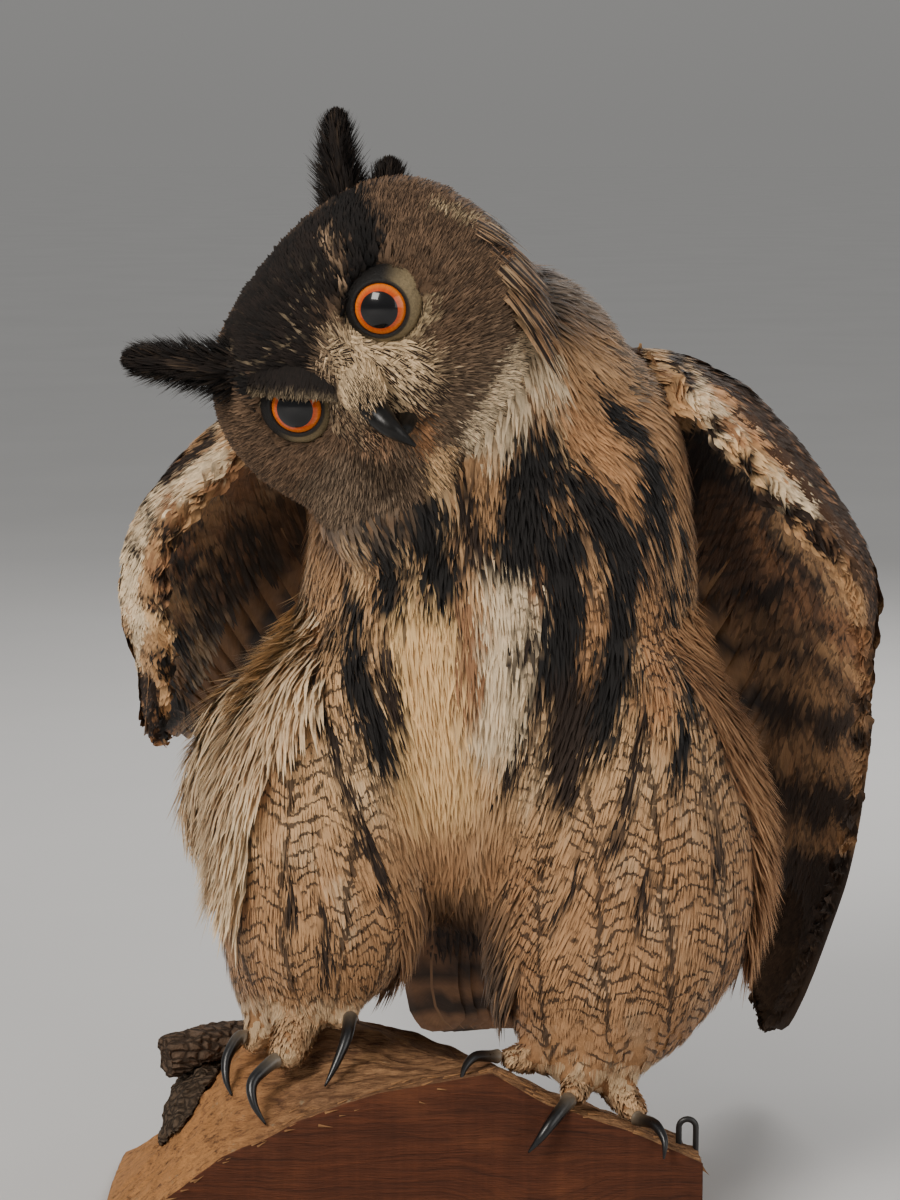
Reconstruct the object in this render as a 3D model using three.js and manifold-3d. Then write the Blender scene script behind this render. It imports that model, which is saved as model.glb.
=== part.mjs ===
// Mounted eagle-owl with mantled wings on a sawn half log.
// Millimetres, +Z up, the owl faces -Y and its own left side is +X.

import * as THREE from "three";
import { mergeVertices } from "three/addons/utils/BufferGeometryUtils.js";
import Module from "manifold-3d";

const wasm = await Module();
wasm.setup();

// ---------------------------------------------------------------- dimensions

const GAP = 0.3; // clearance between neighbouring solids
const SIDES = 20; // facets round a body section
const DIGIT_SIDES = 8; // facets round a toe, talon or wire

const EYE_SPACING = 62; // between the centres of the two eyes
const EYE_RADIUS = 15; // ball of the glass eye
const EYE_DEPTH = 9.5; // eye centre behind the face plane
const ORBIT_RADIUS = 26; // hollow of the face round each eye
const EYES_AT = [-51, -115, 449.5]; // midpoint between the eyes
const FACE_FORWARD = [-0.18, -0.95, -0.16]; // direction the facial disc looks
const CROWN_UP = [-0.76, 0.03, 0.65]; // from the bill up over the crown

const LOG_FRONT = -95; // plane of the sawn front face
const LOG_BACK = 88; // rear of the log at the table
const LOG_RIDGE = -5; // depth at which the rounded top is level
const LOG_ENDS = [-176, 122]; // left end and right end
const WIRE_RADIUS = 1.5; // mounting wire
const WIRE_AT = [117, -62, 71]; // top of the bent wire
const WIRE_SPREAD = 8.4; // between its two legs
const WIRE_DEPTH = 34; // from the top down to where the legs end

// ------------------------------------------------------------------- vectors

const vec = (p) => new THREE.Vector3(p[0], p[1], p[2]);
const mix = (a, b, t) => a + (b - a) * t;
const clamp = (x, lo, hi) => Math.min(hi, Math.max(lo, x));
const forward = vec(FACE_FORWARD).normalize();
const crownUp = vec(CROWN_UP).addScaledVector(forward, -vec(CROWN_UP).dot(forward)).normalize();
const owlLeft = crownUp.clone().cross(forward).normalize();

// A point of the head from its distances to the owl's left, forward and up.
function headPoint(left, ahead, up) {
  return vec(EYES_AT)
    .addScaledVector(owlLeft, left)
    .addScaledVector(forward, ahead)
    .addScaledVector(crownUp, up);
}

// Values read between rows of keys, smooth through every row.
function along(keys, t) {
  const last = keys.length - 1;
  const span = clamp(t, 0, 1) * last;
  const i = Math.min(last - 1, Math.floor(span));
  const u = span - i;
  const row = (k) => keys[clamp(k, 0, last)];
  return keys[i].map((value, c) => {
    const [p0, p1, p2, p3] = [row(i - 1)[c], value, row(i + 1)[c], row(i + 2)[c]];
    const slope = (p2 - p0) / 2;
    const next = (p3 - p1) / 2;
    const bend = 3 * (p2 - p1) - 2 * slope - next;
    const ease = 2 * (p1 - p2) + slope + next;
    return p1 + u * (slope + u * (bend + u * ease));
  });
}

function rows(keys, count) {
  return Array.from({ length: count + 1 }, (_, i) => along(keys, i / count));
}

// Height read from a profile of [position, height] pairs.
function profile(points, x) {
  if (x <= points[0][0]) {
    return points[0][1];
  }
  for (let i = 1; i < points.length; i += 1) {
    const [x0, y0] = points[i - 1];
    const [x1, y1] = points[i];
    if (x <= x1) {
      return mix(y0, y1, (x - x0) / (x1 - x0));
    }
  }
  return points[points.length - 1][1];
}

// -------------------------------------------------------------------- solids

function toManifold(vertProperties, triVerts) {
  const mesh = new wasm.Mesh({
    numProp: 3,
    vertProperties: new Float32Array(vertProperties),
    triVerts: new Uint32Array(triVerts),
  });
  return new wasm.Manifold(mesh);
}

// A closed skin over rings of points, with a centre point on each end.
function skin(rings, startCentre, endCentre) {
  const count = rings[0].length;
  const points = rings.flat();
  points.push(startCentre, endCentre);
  const first = rings.length * count;
  const faces = [];
  for (let r = 0; r < rings.length - 1; r += 1) {
    for (let i = 0; i < count; i += 1) {
      const a = r * count + i;
      const b = r * count + ((i + 1) % count);
      faces.push([a, b, b + count], [a, b + count, a + count]);
    }
  }
  const base = (rings.length - 1) * count;
  for (let i = 0; i < count; i += 1) {
    const j = (i + 1) % count;
    faces.push([first, j, i], [first + 1, base + i, base + j]);
  }
  let volume = 0;
  for (const [a, b, c] of faces) {
    volume += points[a].dot(points[b].clone().cross(points[c]));
  }
  const ordered = volume < 0 ? faces.map(([a, b, c]) => [a, c, b]) : faces;
  return toManifold(points.flatMap((p) => [p.x, p.y, p.z]), ordered.flat());
}

// Sections [x, y, z, half width, half depth] swept along fixed cross axes.
function loft(sections, acrossAxis, depthAxis, sides = SIDES, square = 2, grow = 0) {
  const rings = sections.map(([x, y, z, wide, deep]) =>
    Array.from({ length: sides }, (_, i) => {
      const angle = (2 * Math.PI * i) / sides;
      const c = Math.cos(angle);
      const s = Math.sin(angle);
      const cc = Math.sign(c) * Math.abs(c) ** (2 / square);
      const ss = Math.sign(s) * Math.abs(s) ** (2 / square);
      return vec([x, y, z])
        .addScaledVector(acrossAxis, cc * (wide + grow))
        .addScaledVector(depthAxis, ss * (deep + grow));
    }),
  );
  const start = vec(sections[0]);
  const end = vec(sections[sections.length - 1]);
  const run = end.clone().sub(start).normalize();
  start.addScaledVector(run, -grow);
  end.addScaledVector(run, grow);
  return skin(rings, start, end);
}

// Sections [x, y, z, radius] swept along their own path.
function tube(keys, count, sides = DIGIT_SIDES, flatten = 1, grow = 0) {
  const sections = rows(keys, count);
  const up = vec([0, 0.02, 1]);
  const rings = sections.map((section, i) => {
    const before = vec(sections[Math.max(0, i - 1)]);
    const after = vec(sections[Math.min(count, i + 1)]);
    const run = after.sub(before).normalize();
    const across = run.clone().cross(up).normalize();
    const rise = across.clone().cross(run).normalize();
    return Array.from({ length: sides }, (_, k) => {
      const angle = (2 * Math.PI * k) / sides;
      const radius = section[3] + grow;
      return vec(section)
        .addScaledVector(across, Math.cos(angle) * radius)
        .addScaledVector(rise, Math.sin(angle) * radius * flatten);
    });
  });
  return skin(rings, vec(sections[0]), vec(sections[count]));
}

// A three.js geometry as a solid, once only its positions are left.
function solidOf(geometry) {
  geometry.deleteAttribute("normal");
  geometry.deleteAttribute("uv");
  const merged = mergeVertices(geometry, 1e-3);
  return toManifold(merged.attributes.position.array, merged.index.array);
}

function ellipsoid(centre, radii, turnY = 0, grow = 0) {
  const geometry = new THREE.SphereGeometry(1, 14, 9);
  geometry.scale(radii[0] + grow, radii[1] + grow, radii[2] + grow);
  geometry.rotateY(THREE.MathUtils.degToRad(turnY));
  geometry.translate(...centre);
  return solidOf(geometry);
}

// A curved plate from a leading edge to a trailing edge, thick in front and thin behind.
function plate({ lead, trail, hollow, thick, thin }, from, to, spanSteps, chordSteps, grow = 0) {
  const rings = [];
  const centres = [];
  for (let i = 0; i <= spanSteps; i += 1) {
    const s = mix(from, to, i / spanSteps);
    const front = vec(along(lead, s));
    const back = vec(along(trail, s));
    const ahead = vec(along(lead, Math.min(1, s + 0.02)));
    const behind = vec(along(lead, Math.max(0, s - 0.02)));
    const chord = back.clone().sub(front);
    const normal = ahead.sub(behind).cross(chord).normalize();
    const depth = Math.min(1, chord.length() / 90);
    const at = (t, side) => {
      const body = mix(along(thick, s)[0], along(thin, s)[0], t ** 0.6);
      const round = Math.sqrt(Math.min(1, t / 0.08, (1 - t) / 0.04));
      const half = (body / 2) * Math.max(0.25, round) + grow;
      const bulge = along(hollow, s)[0] * Math.sin(Math.PI * t ** 0.6) * depth;
      const reach = t * (1 + (2 * grow) / chord.length()) - grow / chord.length();
      return front.clone().addScaledVector(chord, reach).addScaledVector(normal, bulge + side * half);
    };
    const ring = [];
    for (let k = 0; k <= chordSteps; k += 1) {
      ring.push(at(k / chordSteps, 1));
    }
    for (let k = chordSteps; k >= 0; k -= 1) {
      ring.push(at(k / chordSteps, -1));
    }
    rings.push(ring);
    centres.push(at(0.5, 0));
  }
  return skin(rings, centres[0], centres[spanSteps]);
}

// ---------------------------------------------------------------------- base

const logFrontEdge = [
  [-176, 12], [-139, 41], [-110, 62], [-73, 80], [-35, 95], [20, 105], [47, 89], [87, 76], [122, 60],
];
const logRidge = [
  [-176, 12], [-150, 36], [-128, 66], [-107, 90], [-63, 104], [-35, 99], [10, 81], [47, 62], [122, 30],
];

function logTop(x, y) {
  const edge = profile(logFrontEdge, x);
  const ridge = profile(logRidge, x);
  if (y < LOG_RIDGE) {
    const angle = ((Math.PI / 2) * (y - LOG_FRONT)) / (LOG_RIDGE - LOG_FRONT);
    return mix(edge, ridge, ridge > edge ? Math.sin(angle) : 1 - Math.cos(angle));
  }
  const fall = clamp((y - LOG_RIDGE) / (LOG_BACK - LOG_RIDGE), 0, 1);
  return ridge * Math.sqrt(Math.max(0, 1 - fall * fall * 0.985));
}

function logSection(x, grow) {
  const ring = [];
  const steps = 10;
  const front = LOG_FRONT - grow;
  for (let i = 0; i <= steps; i += 1) {
    const t = i / steps;
    const y = mix(LOG_FRONT, LOG_BACK, t < 0.5 ? t : Math.sin((Math.PI / 2) * t) * 0.5 + t * 0.5);
    const grain = 1.2 * Math.sin(x * 0.21 + i * 1.9) * Math.sin(Math.PI * t);
    ring.push(vec([x, i === 0 ? front : y + grow * t, logTop(x, y) + grain + grow]));
  }
  ring.push(vec([x, LOG_BACK + grow, 0]));
  ring.push(vec([x, LOG_BACK * 0.35, 0]));
  ring.push(vec([x, -30, 0]));
  ring.push(vec([x, front, 0]));
  return ring;
}

function logSolid(grow = 0) {
  const steps = 18;
  const rings = [];
  for (let i = 0; i <= steps; i += 1) {
    const x = mix(LOG_ENDS[0] - grow, LOG_ENDS[1] + grow, i / steps);
    rings.push(logSection(x, grow));
  }
  const start = vec([LOG_ENDS[0] - grow, -20, 10]);
  const end = vec([LOG_ENDS[1] + grow, -20, 20]);
  return skin(rings, start, end);
}

function barkSolid(grow = 0) {
  return ellipsoid([-128, 14, 40], [23, 54, 42], 10, grow);
}

function stubSolid(grow = 0) {
  const keys = [[-96, 26, 82, 15.5], [-118, 16, 84, 14], [-134, 9, 83, 13.5], [-147, 4, 81, 12]];
  return tube(keys, 3, 10, 0.95, grow);
}

function wireSolid() {
  const [x, y, top] = WIRE_AT;
  const bend = WIRE_SPREAD / 2;
  const section = new THREE.Shape().absarc(0, 0, WIRE_RADIUS, 0, 2 * Math.PI);
  const path = new THREE.CurvePath();
  const left = new THREE.Vector3(x - bend, y, top - bend);
  const right = new THREE.Vector3(x + bend, y, top - bend);
  path.add(new THREE.LineCurve3(left.clone().setZ(top - WIRE_DEPTH), left));
  const over = (t) => new THREE.Vector3(x - bend * Math.cos(t), y, top - bend + bend * Math.sin(t));
  const arc = Array.from({ length: 7 }, (_, i) => over((Math.PI * i) / 6));
  path.add(new THREE.CatmullRomCurve3(arc));
  path.add(new THREE.LineCurve3(right, right.clone().setZ(top - WIRE_DEPTH)));
  const options = { extrudePath: path, steps: 16, curveSegments: 8, bevelEnabled: false };
  return solidOf(new THREE.ExtrudeGeometry(section, options));
}

// ---------------------------------------------------------------------- head

const headSections = [
  // ahead, left, up, half width, half height
  [9, 0, -18, 9, 13], [5, 0, -14, 26, 27], [0, -1, -11, 48, 43], [-8, -2, -9, 66, 55],
  [-20, -2, -9, 79, 62], [-38, -1, -9, 83, 66], [-58, 2, -7, 82, 65], [-80, 6, -3, 68, 57],
  [-97, 8, -1, 49, 43], [-107, 9, 0, 28, 26], [-111, 9, 0, 8, 8],
];

function headSolid(grow = 0) {
  const sections = rows(headSections, 11).map(([ahead, left, up, wide, high]) => {
    const p = headPoint(left, ahead, up);
    return [p.x, p.y, p.z, wide, high];
  });
  return loft(sections, owlLeft, crownUp, SIDES + 2, 2.4, grow);
}

function eyeCentre(side) {
  return headPoint((side * EYE_SPACING) / 2, -EYE_DEPTH, 0);
}

function eyeSolid(side, grow = 0) {
  const at = eyeCentre(side);
  return ellipsoid([at.x, at.y, at.z], [EYE_RADIUS, EYE_RADIUS, EYE_RADIUS], 0, grow);
}

function orbitSolid(side) {
  const at = headPoint((side * EYE_SPACING) / 2, ORBIT_RADIUS - 2, 0);
  return ellipsoid([at.x, at.y, at.z], [ORBIT_RADIUS, ORBIT_RADIUS, ORBIT_RADIUS]);
}

// Keys [left, ahead, up, radius] of the head, swept as a tube in the room.
function headTube(keys, count, sides, flatten, grow = 0) {
  const placed = keys.map(([left, ahead, up, radius]) => {
    const p = headPoint(left, ahead, up);
    return [p.x, p.y, p.z, radius];
  });
  return tube(placed, count, sides, flatten, grow);
}

function billUpper(grow = 0) {
  const keys = [[0, -6, -10, 10], [-1, 8, -19, 10], [-1, 19, -29, 9], [0, 25, -40, 6], [0, 22, -52, 1.2]];
  return headTube(keys, 7, 9, 0.95, grow);
}

function billLower(grow = 0) {
  const keys = [[0, -4, -40, 7.5], [0, 8, -42, 7], [0, 15, -43.5, 5.2], [0, 18, -45, 2]];
  return headTube(keys, 5, 9, 0.7, grow);
}

function tuftLeft(grow = 0) {
  const tall = [
    [-45, -76, 486, 15, 9], [-48, -70, 512, 13, 8], [-52, -64, 534, 11.5, 6],
    [-53, -61, 553, 9.5, 4.5], [-53, -60, 566, 2.5, 1.5],
  ];
  const short = [
    [-33, -76, 488, 15, 9], [-31, -68, 508, 12.5, 8], [-29, -63, 528, 10, 6], [-28, -61, 543, 2.5, 2],
  ];
  const across = vec([1, 0, 0]);
  const deep = vec([0, 1, 0]);
  const upright = loft(rows(tall, 8), across, deep, 12, 2, grow);
  return upright.add(loft(rows(short, 6), across, deep, 12, 2, grow));
}

function tuftRight(grow = 0) {
  const keys = [
    [-92, -88, 441, 12, 9], [-112, -88, 443.5, 9.5, 8], [-130, -86, 445.5, 10.5, 7],
    [-145, -85, 446.5, 8.5, 5], [-156, -85, 448, 2.5, 1.5],
  ];
  return loft(rows(keys, 8), vec([0, 0, 1]), vec([0, 1, 0]), 12, 2, grow);
}

// ---------------------------------------------------------------- neck, trunk

const neckAcross = vec([0.8, 0, 0.6]);
const neckDepth = vec([0.32, -0.84, -0.43]).normalize();

function neckSolid(grow = 0) {
  const keys = [
    [-34, -70, 448, 50, 48], [-22, -58, 446, 70, 60], [-4, -40, 438, 76, 68], [10, -26, 426, 77, 72],
    [19, -12, 411, 80, 74], [25, 2, 394, 77, 70], [29, 14, 380, 50, 46],
  ];
  const sleeve = loft(rows(keys, 8), neckAcross, neckDepth, SIDES, 2, grow);
  return sleeve.add(ellipsoid([-30, -66, 388], [46, 42, 46], 20, grow));
}

function trunkSolid(grow = 0) {
  const keys = [
    [46, 16, 458, 24, 22], [38, 10, 446, 54, 46], [30, 4, 420, 86, 74], [26, 0, 390, 95, 82],
    [26, -2, 355, 100, 86], [24, -1, 320, 103, 87], [20, 3, 285, 111, 86], [16, 8, 250, 116, 82],
    [16, 14, 218, 106, 75], [16, 20, 188, 88, 66], [16, 27, 160, 56, 48], [16, 32, 146, 20, 18],
  ];
  const body = loft(rows(keys, 13), vec([1, 0, 0]), vec([0, 1, 0]), SIDES + 2, 2, grow);
  return body.add(ellipsoid([-92, 12, 236], [42, 44, 66], 22, grow));
}

function tailSolid(grow = 0) {
  const keys = [
    [20, 40, 236, 40, 28], [21, 66, 206, 46, 24], [23, 96, 168, 44, 15], [26, 130, 122, 46, 8],
    [28, 162, 80, 50, 5], [29, 184, 50, 46, 3.5], [30, 193, 38, 34, 2.5],
  ];
  const along3 = vec([0, 0.56, -0.83]);
  const across = vec([1, 0, 0]);
  return loft(rows(keys, 7), across, across.clone().cross(along3).normalize(), 14, 2.6, grow);
}

// ---------------------------------------------------------------------- legs

const legKeys = {
  right: [
    [-34, -14, 318, 30, 46], [-46, -18, 285, 50, 62], [-56, -20, 250, 58, 66], [-62, -21, 215, 57, 66],
    [-64, -22, 180, 54, 61], [-66, -22, 152, 50, 53], [-69, -18, 130, 46, 42], [-75, -15, 114, 38, 32],
    [-77, -14, 103, 26, 24],
  ],
  left: [
    [62, -12, 322, 34, 50], [78, -15, 290, 54, 64], [88, -17, 250, 64, 70], [92, -18, 210, 70, 71],
    [91, -20, 172, 70, 68], [84, -24, 138, 65, 60], [78, -30, 108, 53, 50], [72, -34, 90, 36, 36],
    [69, -36, 81, 22, 24],
  ],
};
const kneeHeight = { right: 176, left: 164 };

function legSolid(side, grow = 0) {
  return loft(rows(legKeys[side], 10), vec([1, 0, 0]), vec([0, 1, 0]), SIDES, 2, grow);
}

// Everything between two levels, as a broad slab.
function slab(low, high) {
  const geometry = new THREE.BoxGeometry(800, 800, high - low);
  geometry.translate(0, 0, (low + high) / 2);
  return solidOf(geometry);
}

// [x, y, z, radius] from the foot out to the pad, then the curve of the talon.
const digits = {
  toe_right_inner: [[-60, -28, 120, 12], [-53, -42, 121, 11.5], [-49.5, -53, 117, 8]],
  toe_right_middle: [[-70, -32, 119, 13], [-77, -50, 113, 13.5], [-82, -67, 100, 9.5]],
  toe_right_outer: [[-80, -24, 110, 11], [-94, -28, 104, 10], [-104, -33, 99, 7.5]],
  toe_right_hind: [[-62, -12, 113, 11], [-58, 8, 111, 10], [-55, 24, 106, 7.5]],
  toe_left_inner: [[58, -42, 97, 11], [40, -55, 99, 10], [24, -66, 103, 7.5]],
  toe_left_middle: [[67, -50, 91, 11], [62, -68, 90, 10.5], [58, -86, 88, 7.5]],
  toe_left_outer: [[80, -48, 86, 11], [87, -62, 80, 9.5], [92, -76, 76, 7.5]],
  toe_left_hind: [[74, -20, 82, 11], [76, -2, 75, 10], [77, 14, 67, 7.5]],
};
const talons = {
  toe_right_inner: [[-49.5, -54, 119, 3.5], [-51, -63, 112, 2.9], [-56, -70, 101, 1.9], [-61, -75, 92, 0.5]],
  toe_right_middle: [[-88, -71, 102, 3.5], [-96, -78, 95, 2.9], [-95, -84, 86, 1.9], [-89, -88, 77, 0.5]],
  toe_right_outer: [[-106, -36, 104, 3.2], [-111, -43, 96, 2.6], [-111, -49, 87, 1.7], [-108, -53, 80, 0.5]],
  toe_right_hind: [[-54, 30, 108, 3.2], [-53, 38, 105, 2.6], [-52, 46, 97, 1.7], [-51, 50, 89, 0.5]],
  toe_left_inner: [[20, -71, 106, 3], [12, -80, 108.5, 2.5], [7, -87, 105, 1.6], [5, -94, 99, 0.5]],
  toe_left_middle: [[56, -92, 89, 3.6], [49, -101, 83, 3], [43, -105, 76, 2], [37.5, -105, 69, 0.5]],
  toe_left_outer: [[93, -81, 77, 3.2], [99, -91, 78, 2.7], [103, -99, 73, 1.8], [102.5, -103, 65, 0.5]],
  toe_left_hind: [[77, 19, 69, 3.2], [78, 28, 66, 2.6], [79, 36, 58, 1.7], [79, 40, 50, 0.5]],
};

// --------------------------------------------------------------------- wings

const wings = {
  left: {
    lead: [
      [84, 8, 444], [122, -22, 418], [160, -38, 376], [190, -36, 344], [203, -18, 308], [210, 14, 266],
      [213, 60, 204], [209, 105, 146], [201, 148, 94], [187, 190, 42],
    ],
    trail: [
      [54, 72, 378], [92, 112, 326], [120, 137, 275], [140, 152, 228], [150, 162, 182], [157, 171, 142],
      [163, 179, 108], [170, 186, 76], [177, 194, 52], [182, 200, 36],
    ],
    hollow: [[24], [36], [38], [34], [28], [21], [15], [10], [6], [2]],
    thick: [[30], [30], [27], [24], [20], [15], [11], [8], [6], [4]],
    thin: [[7], [6], [6], [5], [5], [4], [4], [3.5], [3], [2.5]],
  },
  right: {
    lead: [
      [-48, 4, 436], [-84, -6, 412], [-112, -18, 388], [-135, -34, 360], [-142, -34, 328], [-141, -14, 296],
      [-149, 26, 250], [-155, 86, 230], [-161, 160, 220], [-162, 240, 208],
    ],
    trail: [
      [-14, 74, 362], [-48, 114, 324], [-76, 141, 291], [-98, 160, 262], [-110, 174, 242], [-120, 188, 228],
      [-130, 203, 218], [-140, 220, 212], [-149, 240, 208], [-156, 253, 205],
    ],
    hollow: [[-24], [-28], [-30], [-28], [-24], [-18], [-13], [-9], [-6], [-2]],
    thick: [[30], [30], [27], [24], [20], [16], [12], [8], [6], [4]],
    thin: [[7], [6], [6], [5], [5], [4], [4], [3.5], [3], [2.5]],
  },
};
const wingParts = [
  // name, start and end along the span, steps along it
  ["arm", 0, 0.22, 4],
  ["forearm", 0.2215, 0.42, 5],
  ["hand", 0.4215, 1, 10],
];

// -------------------------------------------------------------------- pieces

const palette = {
  wood: [0x6b3418, 0.75], bark: [0x55483e, 0.9], wire: [0x16161a, 0.45],
  head: [0x5a4a3c, 0.95], neck: [0x9a6c42, 0.95], trunk: [0xa07040, 0.95], tail: [0x6a4a30, 0.9],
  leg: [0x8c6e4e, 0.95], toe: [0xb09878, 0.95], horn: [0x1c1c20, 0.35], eye: [0xc85a14, 0.08],
  tuft: [0x1e1712, 0.95], wing: [0x7a583a, 0.9],
};

const group = new THREE.Group();
group.name = "mounted_eagle_owl";

// The largest closed body of a solid, dropping slivers that a cut leaves.
function mainBody(solid) {
  const bodies = solid.decompose();
  return bodies.reduce((best, body) => (body.volume() > best.volume() ? body : best));
}

function less(solid, ...cutters) {
  return cutters.reduce((rest, cutter) => rest.subtract(cutter), solid);
}

function addNode(name, solid, look) {
  const { vertProperties, triVerts, numProp } = mainBody(solid).getMesh();
  const positions = new Float32Array((vertProperties.length / numProp) * 3);
  for (let i = 0; i < positions.length / 3; i += 1) {
    positions.set(vertProperties.subarray(i * numProp, i * numProp + 3), i * 3);
  }
  const geometry = new THREE.BufferGeometry();
  geometry.setAttribute("position", new THREE.BufferAttribute(positions, 3));
  geometry.setIndex(new THREE.BufferAttribute(new Uint32Array(triVerts), 1));
  geometry.computeVertexNormals();
  const [color, roughness] = palette[look];
  const material = new THREE.MeshStandardMaterial({ color, roughness, metalness: 0 });
  const mesh = new THREE.Mesh(geometry, material);
  mesh.name = name;
  group.add(mesh);
}

function addBase() {
  addNode("base_log", logSolid(), "wood");
  addNode("base_bark", less(barkSolid(), logSolid(GAP), slab(-300, 0)), "bark");
  const stub = less(stubSolid(), logSolid(GAP), barkSolid(GAP));
  addNode("base_branch_stub", stub, "bark");
  addNode("base_wire_loop", less(wireSolid(), logSolid(GAP)), "wire");
}

function addHead() {
  const sockets = [eyeSolid(1, GAP), eyeSolid(-1, GAP), orbitSolid(1), orbitSolid(-1)];
  addNode("head", less(headSolid(), ...sockets), "head");
  addNode("eye_left", eyeSolid(1), "eye");
  addNode("eye_right", eyeSolid(-1), "eye");
  addNode("bill_upper", less(billUpper(), headSolid(GAP)), "horn");
  addNode("bill_lower", less(billLower(), headSolid(GAP), billUpper(GAP)), "horn");
  addNode("ear_tuft_left", less(tuftLeft(), headSolid(GAP)), "tuft");
  addNode("ear_tuft_right", less(tuftRight(), headSolid(GAP)), "tuft");
}

function addBody() {
  const front = [headSolid(GAP), billUpper(GAP), billLower(GAP)];
  addNode("neck", less(neckSolid(), ...front), "neck");
  addNode("trunk", less(trunkSolid(), neckSolid(GAP), ...front), "trunk");
  addNode("tail", less(tailSolid(), trunkSolid(GAP)), "tail");
}

function addLeg(side) {
  const knee = kneeHeight[side];
  const leg = less(legSolid(side), trunkSolid(GAP), logSolid(GAP));
  addNode(`thigh_${side}`, less(leg, slab(-300, knee)), "leg");
  addNode(`shank_${side}`, less(leg, slab(knee - GAP, 600)), "leg");
}

function addFoot(side) {
  const names = ["inner", "middle", "outer", "hind"].map((digit) => `toe_${side}_${digit}`);
  const leg = legSolid(side, GAP);
  names.forEach((name, i) => {
    const earlier = names.slice(0, i).map((other) => tube(digits[other], 4, DIGIT_SIDES, 1, GAP));
    const toe = less(tube(digits[name], 4), leg, logSolid(GAP), ...earlier);
    addNode(name, toe, "toe");
    const pads = names.map((other) => tube(digits[other], 4, DIGIT_SIDES, 1, GAP));
    const talon = less(tube(talons[name], 6, 7), leg, logSolid(GAP), ...pads);
    addNode(name.replace("toe", "talon"), talon, "horn");
  });
}

function addWing(side) {
  const legs = [legSolid(side, GAP), tailSolid(GAP)];
  const body = [trunkSolid(GAP), neckSolid(GAP), headSolid(GAP)];
  for (const [part, from, to, steps] of wingParts) {
    const solid = plate(wings[side], from, to, steps, 7);
    addNode(`wing_${side}_${part}`, less(solid, ...body, ...legs), "wing");
  }
}

addBase();
addHead();
addBody();
for (const side of ["left", "right"]) {
  addLeg(side);
  addFoot(side);
  addWing(side);
}

export default group;
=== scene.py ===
"""Dresses the packed eagle-owl mount: one skin, its plumage, glass eyes, bill, talons, log and studio."""

import math

import bpy
import numpy as np
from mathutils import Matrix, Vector
from mathutils.bvhtree import BVHTree


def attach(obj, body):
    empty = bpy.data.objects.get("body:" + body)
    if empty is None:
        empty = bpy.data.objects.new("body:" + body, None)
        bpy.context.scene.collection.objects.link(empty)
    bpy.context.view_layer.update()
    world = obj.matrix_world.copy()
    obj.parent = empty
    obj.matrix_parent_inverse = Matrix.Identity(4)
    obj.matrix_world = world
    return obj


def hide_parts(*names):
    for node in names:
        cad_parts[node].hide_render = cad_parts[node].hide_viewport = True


bl_info = {
    "name": "Mounted Eagle-Owl",
    "version": (1, 0, 0),
    "blender": (4, 5, 0),
    "location": "View3D > Sidebar > Eagle-Owl",
    "description": "Dresses an eagle-owl mount with skin, plumage, glass eyes and its half log",
    "category": "Object",
}

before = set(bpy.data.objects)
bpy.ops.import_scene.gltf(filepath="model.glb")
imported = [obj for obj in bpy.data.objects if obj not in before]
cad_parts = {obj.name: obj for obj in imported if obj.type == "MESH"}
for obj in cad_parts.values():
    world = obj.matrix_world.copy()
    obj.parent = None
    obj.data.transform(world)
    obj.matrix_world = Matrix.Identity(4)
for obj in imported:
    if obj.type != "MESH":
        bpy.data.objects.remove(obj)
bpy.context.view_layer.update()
MM = 0.001
BODY = "root"

# ------------------------------------------------------------------ sizes of the head

EYES_AT = np.array([-51, -115, 449.5]) * MM
FACE_FORWARD = np.array([-0.18, -0.95, -0.16])
CROWN_UP = np.array([-0.76, 0.03, 0.65])
EYE_SPACING = 62 * MM
EYE_DEPTH = 9.5 * MM
EYE_BALL = 15 * MM
FACE_CENTRE = (0, 6, -17)  # left, ahead, up of the point that the face's feathers spread from

# nodes of flesh, with how deep their coat is
FLESH_DEPTH = {
    "head": 4.5, "neck": 9.0, "trunk": 9.0, "thigh_left": 8.0, "thigh_right": 8.0,
    "shank_left": 6.0, "shank_right": 6.0,
}
TOES = [f"toe_{side}_{digit}" for side in ("left", "right") for digit in ("inner", "middle", "outer", "hind")]
TALONS = [name.replace("toe", "talon") for name in TOES]
WING_NODES = [f"wing_{side}_{part}" for side in ("left", "right") for part in ("arm", "forearm", "hand")]
TOE_DEPTH = 1.5

# ------------------------------------------------------------------ colours, as sRGB 0-255

COLOURS = {
    "black": (16, 12, 10), "dark": (40, 27, 18), "crown": (24, 17, 13), "grey": (88, 68, 51),
    "brow": (122, 100, 78), "lash": (150, 132, 105), "bristle": (192, 166, 130), "beard": (104, 87, 70),
    "mottle": (70, 56, 42), "skin": (150, 116, 88), "rust": (150, 108, 74), "orange": (184, 136, 92),
    "tan": (182, 142, 100), "cream": (212, 174, 128), "white": (222, 198, 162), "butter": (224, 184, 128), "pale": (160, 140, 108),
    "nape": (116, 100, 84), "shade": (92, 68, 48), "leg": (184, 141, 99), "back": (88, 62, 42),
    # plain: a dark brown for the under wing, darkened in part as painted shade
    "toe": (206, 178, 140), "underwing": (164, 122, 84), "plain": (96, 68, 48),
}

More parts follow.
